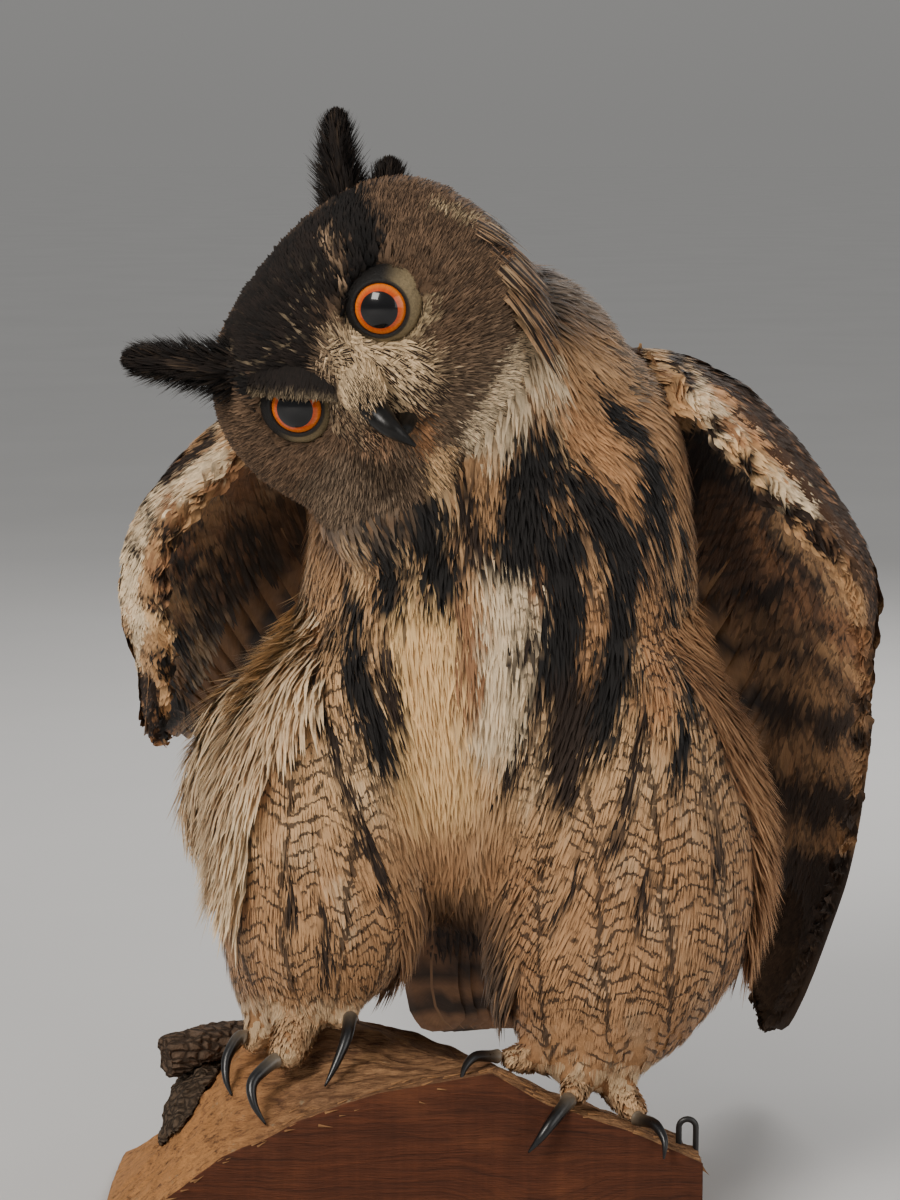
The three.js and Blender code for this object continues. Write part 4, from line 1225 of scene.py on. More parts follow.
def build_trunk_coat(settings):
    skin = SKIN["map"]
    trunk = chosen("trunk")
    front = front_share() * trunk
    back = (1 - front_share()) * trunk
    z = skin.centre[:, 2] / MM
    shared = dict(lie=body_lie, colour_of=body_colour, material=body_material(), slot="body_plumage",
                  unwrap=round_axis((20, 5), 130, 470), ferns=fern_places)
    coat("coat_breast", front, 6.2, 11, length=38, width=19, lift=6.5, fingers=14, fray=0.36, shaft=0.0, tips=0.12, ragged=0.005, streak=0.06, **shared)
    coat("coat_belly", front * (z < 330), 7.0, 12, length=44, width=20, lift=7.5, fingers=14, fray=0.4, shaft=0.0, tips=0.1, ragged=0.004, streak=0.05, curl=0.1, **shared)
    x, y, z = (skin.centre / MM).T
    # The vent's fluff between the legs, coloured dark by vent_colour as painted shade.
    vent = chosen("trunk", "thigh_left", "thigh_right") * (np.abs(x - 9) < 31) * (z < 215) * (y > -75)
    coat("coat_vent", vent, 6.0, 14, vent_lie, vent_colour, 70, 20, 8, body_material(), "body_plumage", shared["unwrap"],
         fingers=11, fray=0.5, shaft=0.0, curl=0.3)
    coat("coat_back", back, 8.5, 13, length=44, width=22, lift=8, fingers=11, fray=0.2, shaft=0.14, bars=0.9, **shared)


def build_neck_coat(settings):
    unwrap = round_axis((5, -30), 340, 500)
    coat("coat_neck", chosen("neck"), 4.9, 21, neck_lie, body_or_head_colour, 34, 13, 7.5, body_material(), "body_plumage",
         unwrap, fingers=9, fray=0.45, shaft=0.05, bars=0.15, ragged=0.005)


def body_or_head_colour(points, normals):
    """Neck feathers carry the body's marks low down and the head's marks high up."""
    body, body_dark = body_colour(points, normals)
    head, head_dark = head_colour(points, normals)
    left, ahead, up = head_coords(points)
    share = smooth(-100, -62, ahead) * smooth(-75, -55, up)
    high = smooth(440, 470, points[:, 2] / MM)
    share = np.maximum(share * 0.5, high)
    return body + (head - body) * share[:, None], body_dark + (head_dark - body_dark) * share


def eye_gap(points):
    """Distance from the nearer eye's axis, in millimetres, less where the fur stops short of the lids."""
    left, ahead, up = head_coords(points)
    hand = np.sign(left)
    across, rise = left - hand * EYE_SPACING / MM / 2, up
    gap = np.hypot(across, rise)
    low = unit(np.stack([across, rise], 1)) @ unit(np.array([0.35, -0.94]))
    gap = gap - np.where(hand > 0, 3.4, 1.5) * smooth(-0.1, 0.6, low)
    return np.where(ahead > -30, gap, 99.0)


def build_head_coat(settings):
    skin = SKIN["map"]
    left, ahead, up = head_coords(skin.centre)
    clear = (eye_gap(skin.centre) > 12.0).astype(float)
    bill = (np.abs(left) < 8) & (up < -14) & (up > -46) & (ahead > -8)
    head = chosen("head") * clear * np.where(bill, 0.0, 1.0)
    crown = smooth(8, 16, up) * smooth(50, 40, np.abs(left))
    face = head * smooth(-42, -34, ahead) * (1 - crown)
    rest = head * (1 - smooth(-42, -34, ahead)) * (1 - crown)
    shared = dict(lie=head_lie, colour_of=head_colour, material=fur_material(), slot="head_plumage", unwrap=round_head)
    near_eye = lambda p: 0.35 + 0.65 * smooth(12, 28, eye_gap(p))
    coat("coat_face", face, 2.3, 31, length=14, width=3.8, lift=3.0, steps=2, length_of=near_eye, fingers=5, fray=0.6,
         shaft=0.1, ragged=0.004, tips=0.55, speckle=0.3, **shared)
    coat("coat_cheeks", rest, 3.9, 32, length=22, width=8.0, lift=4.0, fingers=7, fray=0.4, shaft=0.16, ragged=0.004, tips=0.5,
         speckle=0.25, **shared)
    coat("coat_crown", head * crown, 3.3, 33, length=14, width=5.6, lift=4.0, fingers=5, fray=0.45, shaft=0.0, ragged=0.003,
         tips=0.4, speckle=0.4, **shared)


def nape_colour(points, normals):
    """Tan at the outline and grey-brown towards the face, each with a dark middle."""
    colour = np.tile(linear(COLOURS["rust"]), (len(points), 1))
    return blend_towards(colour, "pale", 0.4 + 0.5 * ripple(points, 0.02, 44)), np.zeros(len(points))


def build_nape(settings):
    """Long striped feathers that stream from the crown over the nape, and grey fluff under them."""
    rng = np.random.default_rng(46)
    n = 170
    low = rng.random(n)
    start = head_point(rng.uniform(66, 80, n), rng.uniform(-78, -26, n), 26 - 66 * low)
    root, normal = SKIN["map"].nearest(start)
    aim = unit(np.stack([0.85 - 0.45 * low, 0.1 + 0 * low, -0.42 - 0.5 * low], 1) + rng.normal(0, 0.07, (n, 3)))
    aim = unit(aim - 0.75 * (aim * normal).sum(1)[:, None] * normal)
    length = rng.uniform(28, 46, n)[:, None, None] * MM
    u = np.linspace(0, 1, 5)[None, :, None]
    paths = root[:, None] + aim[:, None] * length * u + np.array([0.1, 0, -0.3]) * length * u**2
    obj = plumes("nape_feathers", paths, np.repeat(normal[:, None], 5, 1), 8.5 * MM, 2.0 * MM, nape_colour, rng, fingers=7, steps=4,
                 fray=0.2, shaft=0.42, unwrap=round_head, ragged=0.001, tips=0.3, speckle=0.2)
    finish_piece(obj, fur_material(), "head_plumage")
    skin = SKIN["map"]
    x, y, z = (skin.centre / MM).T
    zone = chosen("neck", "trunk") * (x > 38) * (z > 425) * smooth(-0.5, 0.0, skin.face_normal[:, 1])
    fluff = lambda points, normals: (np.tile(linear(COLOURS["nape"]), (len(points), 1)), np.zeros(len(points)))
    coat("coat_nape", zone, 4.6, 48, neck_lie, fluff, 24, 12, 6.5, fur_material(), "body_plumage", round_axis((60, 10), 400, 500),
         fingers=9, fray=0.6, shaft=0.0, curl=0.2, tips=0.2, ragged=0.001, speckle=0.15)


def brow_colour(points, normals):
    """Near-black brow feathers whose tips over the eye are pale."""
    left, ahead, up = head_coords(points)
    colour = np.tile(linear(COLOURS["crown"]), (len(points), 1))
    inward = (left + EYE_SPACING / MM / 2) * 0.78 + up * 0.62
    pale = smooth(10.0, 5.5, inward) * (0.45 + 0.55 * ripple(points, 0.0035, 41))
    return blend_towards(colour, "lash", pale), np.zeros(len(points))


def build_brow(settings):
    """Feathers that hang from the brow over the upper half of the right eye."""
    rng = np.random.default_rng(47)
    n = 950
    b = rng.uniform(-23, 19, n)
    start = rng.uniform(10, 21, n) * np.sqrt(np.clip(1 - (b / 30) ** 2, 0.2, 1))
    stop = np.maximum(5.0 + 0.07 * np.abs(b) + rng.normal(0, 0.9, n), start - 15)
    centre = -EYE_SPACING / MM / 2
    place = lambda a, ahead: head_point(centre + 0.78 * a + 0.62 * b, ahead, 0.62 * a - 0.78 * b)
    root, _ = SKIN["map"].nearest(place(start, np.full(n, 4.0)))
    bow = np.sqrt(np.clip(1 - (b / 26) ** 2, 0.05, 1))
    end = place(stop, -2 + 9.5 * bow + rng.uniform(0, 1.2, n))
    middle = (root + end) / 2 + FORWARD * (rng.uniform(1.0, 3.0, n) * MM)[:, None]
    u = np.linspace(0, 1, 4)[None, :, None]
    paths = root[:, None] * (1 - u) ** 2 + 2 * middle[:, None] * u * (1 - u) + end[:, None] * u**2
    normals = np.tile(FORWARD, (n, 4, 1))
    obj = plumes("brow_right", paths, normals, 4.2 * MM, 0.8 * MM, brow_colour, rng, fingers=4, fray=0.45, sink=0.2,
                 shaft=0.0, unwrap=round_head, ragged=0.001, tips=0.3, speckle=0.25)
    finish_piece(obj, fur_material(), "head_plumage")


def bristle_lie(hand):
    hub = head_point(hand * 12, 10, 10)

    def lie(points, normals):
        direction = unit(points - hub) + 0.25 * unit(head_point(hand * 4, 0, -60) - points)
        return unit(direction - 0.8 * (direction * normals).sum(1)[:, None] * normals)
    return lie


def bristle_colour(points, normals):
    colour, dark = head_colour(points, normals)
    left, ahead, up = head_coords(points)
    share = np.where(left > 0, 0.75, 0.35) * (0.7 + 0.3 * ripple(points, 0.006, 43))
    return blend_towards(colour, "bristle", share), dark * 0


def build_bristles(settings):
    skin = SKIN["map"]
    left, ahead, up = head_coords(skin.centre)
    for hand, name in ((1, "bristles_left"), (-1, "bristles_right")):
        zone = (left * hand > 1) & (left * hand < 22) & (up < 8) & (up > -30) & (ahead > -16)
        zone = zone & (eye_gap(skin.centre) > 11)
        coat(name, chosen("head") * zone, 1.75, 41 + hand, bristle_lie(hand), bristle_colour, 22 if hand > 0 else 13, 2.4, 3.4,
             fur_material(), "head_plumage", round_head, steps=4, fingers=3, fray=0.28, shaft=0.4, curl=0.0, tips=0.3,
             speckle=0.2, ragged=0.002)
    rng = np.random.default_rng(44)
    n = 520
    a, b = rng.uniform(-1, 1, n), rng.random(n)
    start = head_point(a * 11, 6 - 3 * b, -4 - 9 * b - 3 * np.abs(a))
    root, _ = SKIN["map"].nearest(start)
    ridge = along(BILL_UPPER, 0.20 + 0.38 * b + 0.06 * rng.random(n))
    out = ridge[:, 3] * 0.9 + 1.2
    end = head_point(np.sin(a * 1.2) * out * 1.05, ridge[:, 1] + np.cos(a * 1.2) * out * 0.75, ridge[:, 2] + np.cos(a * 1.2) * out * 0.35)
    middle = (root + end) / 2 + FORWARD * (rng.uniform(2.0, 4.0, n) * MM)[:, None]
    u = np.linspace(0, 1, 5)[None, :, None]
    paths = root[:, None] * (1 - u) ** 2 + 2 * middle[:, None] * u * (1 - u) + end[:, None] * u**2
    obj = plumes("bristles_bill", paths, np.tile(FORWARD, (n, 5, 1)), 2.4 * MM, 0.6 * MM, bristle_colour, rng, fingers=3, steps=4,
                 fray=0.5, sink=0.2, shaft=0.2, unwrap=round_head, ragged=0.001, tips=0.35, speckle=0.25)
    finish_piece(obj, fur_material(), "head_plumage")


def tuft_roots(keys, count, rng, turned, flat=False):
    """Roots and directions round the core of an ear tuft."""
    across = np.array((0, 0, 1.0) if turned else (1.0, 0, 0))
    deep = np.array((0, 1.0, 0))
    t = rng.random(count) ** 1.15 * 0.8
    rows = along(keys, t) * MM
    ahead = along(keys, np.minimum(t + 0.05, 1))[:, :3] * MM
    run = unit(ahead - rows[:, :3])
    angle = rng.uniform(0, 2 * math.pi, count)
    if flat:
        angle = rng.choice([0.0, math.pi], count) + rng.normal(0, 0.5, count)
    normal = across * np.cos(angle)[:, None] + deep * np.sin(angle)[:, None]
    core = 0.48 * np.clip(1.12 - t, 0.12, 1)
    root = rows[:, :3] + across * (np.cos(angle) * rows[:, 3] * core)[:, None] + deep * (np.sin(angle) * rows[:, 4] * core)[:, None]
    return t, rows, run, unit(normal), root


def tuft_colour(points, normals):
    colour = np.tile(linear(COLOURS["crown"]), (len(points), 1))
    streak = smooth(0.2, 0.9, ripple(points, 0.012, 9))
    return blend_towards(colour, "brow", 0.3 * streak), np.zeros(len(points))


def build_ear_tufts(settings):
    low = {"left_tall": 480, "left_short": 480, "right": 420}
    for key, keys in TUFTS.items():
        rng = np.random.default_rng(51 + len(key))
        turned = key == "right"
        end = np.array(keys[-1][:3]) * MM
        unwrap = round_axis(np.mean(keys, axis=0)[:2] + [0, 6], low[key], low[key] + 100)
        for part, count, size, wide, opening, fingers in (
            ("core", 330, (22, 32), 5.5, (0.02, 0.25), 6), ("barbs", 1300, (14, 23), 1.1, (0.55, 1.15), 2),
        ):
            t, rows, run, normal, root = tuft_roots(keys, count, rng, turned, part == "barbs")
            left_over = np.linalg.norm(end - root, axis=1)
            length = np.minimum(left_over * 1.0, rng.uniform(*size, count) * MM)
            length = length * (1 - 0.35 * t)
            lean = rng.uniform(*opening, count) * np.clip(left_over / (40 * MM), 0.12, 1)
            side = unit(run + normal * lean[:, None])
            u = np.linspace(0, 1, 4)
            paths = root[:, None] + side[:, None] * (length[:, None] * u)[..., None]
            paths = paths + run[:, None] * (0.12 * length[:, None] * u**2)[..., None]
            obj = plumes(f"tuft_{key}_{part}", paths, np.repeat(normal[:, None], 4, axis=1), wide * MM, 0.8 * MM, tuft_colour,
                         rng, fingers=fingers, fray=0.4, shaft=0.0, unwrap=unwrap, tips=0.4, speckle=0.25)
            finish_piece(obj, fur_material(), "tuft_plumage")


def leg_colour(points, normals):
    """The barred legs, which end in the pale fluff of the toes."""
    colour, dark = body_colour(points, normals)
    end = np.where(points[:, 0] > 0, 98, 124) + 5 * ripple(points, 0.015, 24)
    return blend_towards(colour, "toe", 0.85 * smooth(end + 7, end - 5, points[:, 2] / MM)), dark


def build_leg_coats(settings):
    centre = {"left": (88, -20), "right": (-64, -21)}
    for k, side in enumerate(("left", "right")):
        zone = chosen(f"thigh_{side}", f"shank_{side}")
        unwrap = round_axis(centre[side], 70, 330)
        shorter = lambda p: 0.26 + 0.74 * smooth(118, 190, p[:, 2] / MM)
        coat(f"coat_leg_{side}", zone, 6.3, 61 + k, body_lie, leg_colour, 42, 21, 5.5, leg_material(), "leg_plumage", unwrap,
             length_of=shorter, fingers=14, fray=0.28, shaft=0.0, tips=0.1, streak=0.05, ferns=fern_places)


def toe_lie(points, normals):
    direction = np.tile([0.0, -0.85, -0.5], (len(points), 1))
    direction[:, 0] = np.where(points[:, 0] > 0, 0.3 * (points[:, 0] - 0.065) / 0.03, 0.4 * (points[:, 0] + 0.07) / 0.03)
    direction[:, 1] = np.where(points[:, 1] > -0.01, 0.85, direction[:, 1])
    return unit(direction - (direction * normals).sum(1)[:, None] * normals)


def toe_colour(points, normals):
    colour = np.tile(linear(COLOURS["toe"]), (len(points), 1))
    return blend_towards(colour, "leg", 0.5 + 0.5 * ripple(points, 0.02, 4)), np.zeros(len(points))


def build_toe_coat(settings):
    coat("coat_toes", chosen(*TOES), 3.0, 71, toe_lie, toe_colour, 9, 3.6, 2.2, fur_material(), "toe_plumage",
         round_axis((0, -20), 60, 140), steps=2, fingers=4, fray=0.5, shaft=0.0, ragged=0.001)


def flank_colour(points, normals):
    colour = np.tile(linear(COLOURS["white"]), (len(points), 1))
    return blend_towards(colour, "tan", 0.12 + 0.4 * ripple(points, 0.05, 6)), np.zeros(len(points))


def thigh_side_colour(points, normals):
    colour = np.tile(linear(COLOURS["leg"]), (len(points), 1))
    return blend_towards(colour, "rust", 0.45 + 0.45 * ripple(points, 0.04, 7)), np.zeros(len(points))


def build_flank(settings):
    skin = SKIN["map"]
    x, y, z = (skin.centre / MM).T
    zone = chosen("trunk", "thigh_right") * (x < -62) * (z > 200) * (z < 330) * (y > -55)
    fur = fur_material()
    coat("coat_flank", zone, 6.5, 81, body_lie, flank_colour, 50, 20, 12, fur, "body_plumage",
         round_axis((20, 5), 130, 470), fingers=11, fray=0.5, shaft=0.0, curl=0.35, tips=0.15)
    outer = chosen("trunk", "thigh_left") * (x > 104) * (z > 120) * (z < 330) * (y > -42)
    coat("coat_thigh_side", outer, 6.5, 82, body_lie, thigh_side_colour, 44, 18, 10, fur, "body_plumage",
         round_axis((70, 5), 90, 350), fingers=11, fray=0.5, shaft=0.0, curl=0.35, tips=0.15)


# ------------------------------------------------------------------ wing feathers


def upper_wing_colour(points, normals):
    """The dark ground of back and upper wing."""
    colour = np.tile(linear(COLOURS["back"]), (len(points), 1))
    colour = blend_towards(colour, "dark", 0.15 + 0.6 * ripple(points, 0.05, 7))
    return colour, np.zeros(len(points))


def wing_place(side, points):
    """Span (0 to 1) of the nearest point of the leading edge and the distance to it in millimetres."""
    spans = np.linspace(0, 1, 60)
    edge = along(WINGS[side]["lead"], spans)[:, :3] * MM
    gap = ((points[:, None] - edge[None]) ** 2).sum(2)
    nearest = gap.argmin(1)
    return spans[nearest], np.sqrt(gap[np.arange(len(points)), nearest]) / MM


def front_wing_colour(side):
    """The pale marked leading edge and under side, which turn into the flight feathers' bars at the hand."""
    flat = [[kind, half, [[x, 0, z] for x, z in spots]] for kind, half, spots in WING_MARKS[side]]
    end, barred = (0.54, 0.62) if side == "left" else (0.8, 0.95), flight_colour(side)

    def colour_of(points, normals):
        s, gap = wing_place(side, points)
        lead = along(WINGS[side]["lead"], s) * MM
        outer = (points - lead)[:, 0] * (1 if side == "left" else -1)
        colour = np.tile(linear(COLOURS["underwing"]), (len(points), 1))
        wave = 10 * ripple(points, 0.03, 8)
        if side == "right":
            colour = blend_towards(colour, "tan", smooth(85, 30, gap + wave))
            # Painted light: lightened towards white behind the leading edge.
            colour = blend_towards(colour, "white", 0.75 * smooth(24, 36, gap) * smooth(95, 50, gap + wave))
            # Painted shade: darker further from the leading edge, in the wing's hollow.
            colour = blend_towards(colour, "plain", 0.7 * smooth(65, 115, gap + wave))
            waves = np.abs(ripple(points * [0.4, 0.4, 1], 0.014, 10))
            colour = blend_towards(colour, "mottle", 0.9 * smooth(0.14, 0.04, waves))
        else:
            # Plain brown that deepens away from the leading edge: partly the under side's own brown, partly painted
            # shade in the hollow.
            colour = blend_towards(colour, "plain", 0.55 + 0.4 * smooth(20, 60, gap + wave))
            colour = blend_towards(colour, "dark", 0.7 * smooth(0.4, 0.62, ripple(points, 0.011, 10)))
        colour = blend_towards(colour, "rust", 0.5 * smooth(0.45, 0.7, ripple(points, 0.013, 9)))
        if side == "left":
            band = smooth(0, 6 * MM, outer + 2 * MM * ripple(points, 0.008, 14)) * smooth(0.6, 0.5, s)
            colour = blend_towards(colour, "dark", 0.9 * band)
            colour = blend_towards(colour, "rust", 0.8 * band * smooth(0.5, 0.7, ripple(points, 0.006, 16)))
        behind = smooth(0.5, 0.85, normals[:, 1])
        level = points * [1, 0, 1]
        colour, _ = paint(level, np.tile([0, 1.0, 0], (len(points), 1)), colour, flat)
        colour = blend_towards(colour, "rust", 0.75 * smooth(0.5, 0.66, ripple(points, 0.009, 18)))
        colour = colour + (upper_wing_colour(points, normals)[0] - colour) * behind[:, None]
        bars, _ = barred(points, normals)
        colour = colour + (bars - colour) * smooth(*end, s)[:, None]
        return colour, np.zeros(len(points))
    return colour_of


def wing_surface(side):
    """One even surface over a wing's nodes, for the feathers of its leading edge."""
    parts = [mesh_arrays(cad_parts[f"wing_{side}_{part}"].data)[:2] for part in ("arm", "forearm", "hand")]
    obj = make_mesh("wing_form", *join_parts([(co, np.zeros((0, 4), int), tri) for co, tri in parts]))
    remeshed(obj, 1.8 * MM, 4)
    surface = SkinMap(obj.data, lambda points: np.zeros(len(points), int))
    bpy.data.objects.remove(obj)
    return surface


def edge_lie(side):
    """The small coverts lie towards the wing's tip and away from its leading edge."""
    lead, trail = WINGS[side]["lead"], WINGS[side]["trail"]

    def lie(points, normals):
        s, _ = wing_place(side, points)
        span = unit(along(lead, s + 0.02) - along(lead, s - 0.02))
        direction = span + 0.45 * unit(along(trail, s) - along(lead, s))
        return unit(direction - (direction * normals).sum(1)[:, None] * normals)
    return lie


def scale_material(name, edge, centre, flip=False):
    """A covert's blade: a dark field with a paler scalloped edge, or the reverse."""
    s = Shader(name, roughness=0.7, specular=0.3)
    x, y, _ = s.split(s.uv("Vane"))
    shaft, barred, chance = s.split(s.attribute("Mark", "Vector"))
    side = s.math("ABSOLUTE", s.math("SUBTRACT", x, 0.5))
    offset = s.math("MULTIPLY", chance, 41.0)
    wave = s.noise(s.join(s.math("MULTIPLY", x, 6.0), s.math("MULTIPLY", y, 6.0), offset), 1.0, 3.0)
    reach = s.math("ADD", s.math("MULTIPLY", side, 1.5), s.math("MULTIPLY", y, 0.9))
    reach = s.math("ADD", reach, s.math("MULTIPLY", s.math("SUBTRACT", wave, 0.5), 0.9))
    rim = s.math("MULTIPLY", s.step(reach, 0.86, 1.15), 0.7)
    arrow = s.step(s.math("FRACT", s.math("ADD", s.math("MULTIPLY", reach, 3.0), chance)), 0.55, 0.75)
    arrow = s.math("MULTIPLY", arrow, barred)
    barb = s.noise(s.join(s.math("MULTIPLY", x, 4.0), s.math("MULTIPLY", s.math("ADD", y, side), 34.0), offset), 1.0, 2.0)
    tint = s.attribute("Tint")
    colour = s.mix(rim, tint, tuple(linear(COLOURS[edge])))
    colour = s.mix(arrow, colour, tuple(linear(COLOURS[centre])))
    line = s.math("MULTIPLY", s.step(side, 0.035, 0.015), 0.7)
    colour = s.mix(line, colour, tuple(linear(COLOURS["dark"])))
    light = s.math("ADD", s.math("MULTIPLY", barb, 0.7), 0.65)
    colour = s.mix(1.0, colour, s.join(light, light, light), "MULTIPLY")
    s.bump(barb, 0.35, 0.0006)
    return s.done(colour)


def flight_colour(side):
    """Bars of the flight feathers, in bands across the whole wing."""
    def colour_of(points, normals):
        reach = points[:, 2] / MM if side == "left" else 330 - points[:, 1] / MM * 0.9
        reach = reach + 8 * ripple(points, 0.05, 12)
        colour = np.tile(linear(COLOURS["tan"]) * 0.75, (len(points), 1))
        colour = blend_towards(colour, "rust", 0.35 + 0.3 * ripple(points, 0.03, 13))
        bands = ((96, 164), (181, 208), (234, 254), (274, 284), (302, 310)) if side == "left" else (
            (60, 122), (146, 172), (200, 216), (240, 252), (272, 282))
        for low, high in bands:
            band = smooth(low - 4, low + 3, reach) * smooth(high + 4, high - 3, reach)
            colour = blend_towards(colour, "dark", band * 0.95)
        colour = blend_towards(colour, "dark", smooth(104, 92, reach) * 0.9)
        return colour, np.zeros(len(points))
    return colour_of


def flight_material():
    s = Shader("flight_vane", roughness=0.6, specular=0.35)
    x, y, _ = s.split(s.uv("Vane"))
    chance = s.split(s.attribute("Mark", "Vector"))[2]
    side = s.math("ABSOLUTE", s.math("SUBTRACT", x, 0.5))
    sweep = s.math("ADD", s.math("MULTIPLY", y, 150.0), s.math("MULTIPLY", side, -30.0))
    barb = s.noise(s.join(s.math("MULTIPLY", x, 5.0), sweep, s.math("MULTIPLY", chance, 19.0)), 1.0, 2.0)
    mottle = s.noise(s.place(), 160.0, 4.0, 0.7)
    light = s.math("ADD", s.math("MULTIPLY", barb, 0.5), s.math("MULTIPLY", mottle, 0.8))
    light = s.math("ADD", light, 0.38)
    colour = s.mix(1.0, s.attribute("Tint"), s.join(light, light, light), "MULTIPLY")
    quill = s.step(side, 0.03, 0.018)
    colour = s.mix(quill, colour, tuple(linear((150, 112, 78))))
    s.bump(s.math("ADD", barb, s.math("MULTIPLY", quill, 2.0)), 0.4, 0.0006)
    return s.done(colour)


def flight_paths(side, steps=10):
    """Primaries, then secondaries: straight lines over the plate from root to tip."""
    rows = []
    for k in range(10):
        f = k / 9
        rows.append((0.45 + 0.13 * f, 0.30 - 0.22 * f, 0.60 + 0.395 * f**0.9, 1.0 - 0.55 * f**3, 27 - 3 * f))
    for k in range(13):
        f = k / 12
        rows.append((0.42 - 0.36 * f, 0.30 - 0.04 * f, 0.565 - 0.50 * f, 0.995, 33))
    rows = np.array(rows)
    u = np.linspace(0, 1, steps + 1)
    s = rows[:, 0:1] + (rows[:, 2:3] - rows[:, 0:1]) * u
    t = rows[:, 1:2] + (rows[:, 3:4] - rows[:, 1:2]) * u ** 1.1
    point, normal = wing_at(side, s, np.clip(t, 0.01, 0.999))
    return point, normal, rows[:, 4] * MM


def grid_cells(count, rows, reach=0.98):
    """Evenly placed patches in columns and rows for large feathers."""
    columns = math.ceil(count / rows)
    k = np.arange(count)
    cells = np.stack([(k % columns + 0.5) / columns, (k // columns + 0.5) / rows], axis=1)
    return cells, np.array([0.86 / columns, 0.92 / rows]) * reach


def build_wing(side, materials):
    rng = np.random.default_rng(91 if side == "left" else 92)
    paths, normals, width = flight_paths(side)
    n = len(paths)
    order = np.linspace(0.9, -0.9, n)
    normals_up = normals
    obj = vanes(f"wing_{side}_flight", paths, normals_up, width, order[:, None] * MM * np.ones((n, 25)),
                flight_colour(side), rng, rows=24, columns=6, camber=0.05, shingle=0.05 if side == "left" else -0.05,
                thick=0.5 * MM, tip=0.12, stalk=0.45, cells=grid_cells(n, 2))
    finish_piece(obj, materials["flight"], "wing_plumage")
    for face, label in ((1, "upper"), (-1, "under")):
        roots = []
        for row, (chord, length, wide) in enumerate(
            ((0.11, 26, 14), (0.15, 30, 15), (0.20, 34, 17), (0.28, 42, 19), (0.37, 54, 22), (0.46, 66, 26))
        ):
            count = int((62 if face < 0 else 48) - row * 2.5)
            s = (np.arange(count) + rng.uniform(0.2, 0.8, count)) / count * (0.98 - 0.05 * row)
            s = s[s < (0.95 if row < 1 else 0.9 - 0.06 * row)]
            scale = 1 - 0.45 * smooth(0.55, 1.0, s)
            t = np.full_like(s, chord + (0.04 if face > 0 else 0.0)) + rng.uniform(-0.02, 0.02, len(s))
            roots.append(np.stack([s, t, length * scale, wide * scale], 1))
        s, t, length, wide = np.concatenate(roots)[::-1].T
        n = len(s)
        place = np.stack([s * 0.98, np.clip(t / 0.6, 0, 0.98)], 1)
        paths, normals = wing_paths(side, face, s, t, length * MM, 5, covert_turn, (0.9 if face > 0 else 2.4) * MM)
        if face > 0:
            obj = vanes(f"wing_{side}_upper_coverts", paths, normals, wide * 1.15 * MM, rng.uniform(0, 0.5, (n, 1)) * MM * np.ones((n, 7)),
                        upper_wing_colour, rng, rows=6, columns=4, camber=0.08, shaft=0.0, bars=0.5, tip=0.5,
                        cells=(free_cells(place, 0.035), np.array([0.03, 0.03])))
        else:
            obj = plumes(f"wing_{side}_under_coverts", paths, normals, wide * MM, 2.2 * MM, front_wing_colour(side), rng,
                         fingers=10, steps=5, fray=0.25, shaft=0.0, bars=0.55 if side == "left" else 0.25, patch=0.006, ragged=0.003, speckle=0.1, tips=-0.2,
                         unwrap=lambda p: place)
        finish_piece(obj, materials["upper" if face > 0 else "under"], "wing_plumage")
    surface = wing_surface(side)
    s, gap = wing_place(side, surface.centre)
    coat(f"wing_{side}_edge", smooth(34, 30, gap - 14 * smooth(0.5, 0.2, s)), 4.3, 93, edge_lie(side), front_wing_colour(side), 19, 12.5, 2.6,
         fur_material(), "wing_plumage", lambda p: edge_place(side, p), steps=4, length_of=lambda p: 1.1 - 0.5 * wing_place(side, p)[0],
         skin=surface, fingers=8, fray=0.22, tips=0.3, shaft=0.0, ragged=0.002, speckle=0.14)


def edge_place(side, points):
    """Unwraps roots near the leading edge by span and by the turn round the edge."""
    s, _ = wing_place(side, points)
    lead = along(WINGS[side]["lead"], s) * MM
    trail = along(WINGS[side]["trail"], s) * MM
    chord = unit(trail - lead)
    face = unit(np.cross(along(WINGS[side]["lead"], s + 0.02) - along(WINGS[side]["lead"], s - 0.02), chord))
    turn = np.arctan2(((points - lead) * face).sum(1), ((points - lead) * chord).sum(1)) / (2 * math.pi)
    return np.clip(np.stack([s, turn % 1], 1), 0, 0.99)


def build_wings(settings):
    materials = {
        "flight": flight_material(),
        "upper": scale_material("upper_covert", "tan", "dark"),
        "under": feather_material("under_plume", bars=4.0, slope=0.45, strands=26.0, bar_colour="dark", wander=0.5),
    }
    for side in ("left", "right"):
        build_wing(side, materials)


def tail_colour(points, normals):
    reach = points[:, 2] / MM + 3 * ripple(points, 0.03, 15)
    colour = np.tile(linear(COLOURS["rust"]), (len(points), 1))
    # The rust ground darkened towards back brown: partly the tail's own colour, partly painted shade for the tail seen
    # between the legs.
    colour = blend_towards(colour, "back", 0.35 + 0.3 * ripple(points, 0.02, 16))
    wave = np.sin(reach * 2 * math.pi / 26)
    return blend_towards(colour, "dark", smooth(-0.2, 0.25, wave) * 0.9), np.zeros(len(points))


def undertail_colour(points, normals):
    # Painted shade: the undertail coverts, seen between the legs, are dark back brown blotched darker.
    colour = np.tile(linear(COLOURS["back"]), (len(points), 1))
    return blend_towards(colour, "dark", 0.4 + ripple(points, 0.02, 25)), np.zeros(len(points))


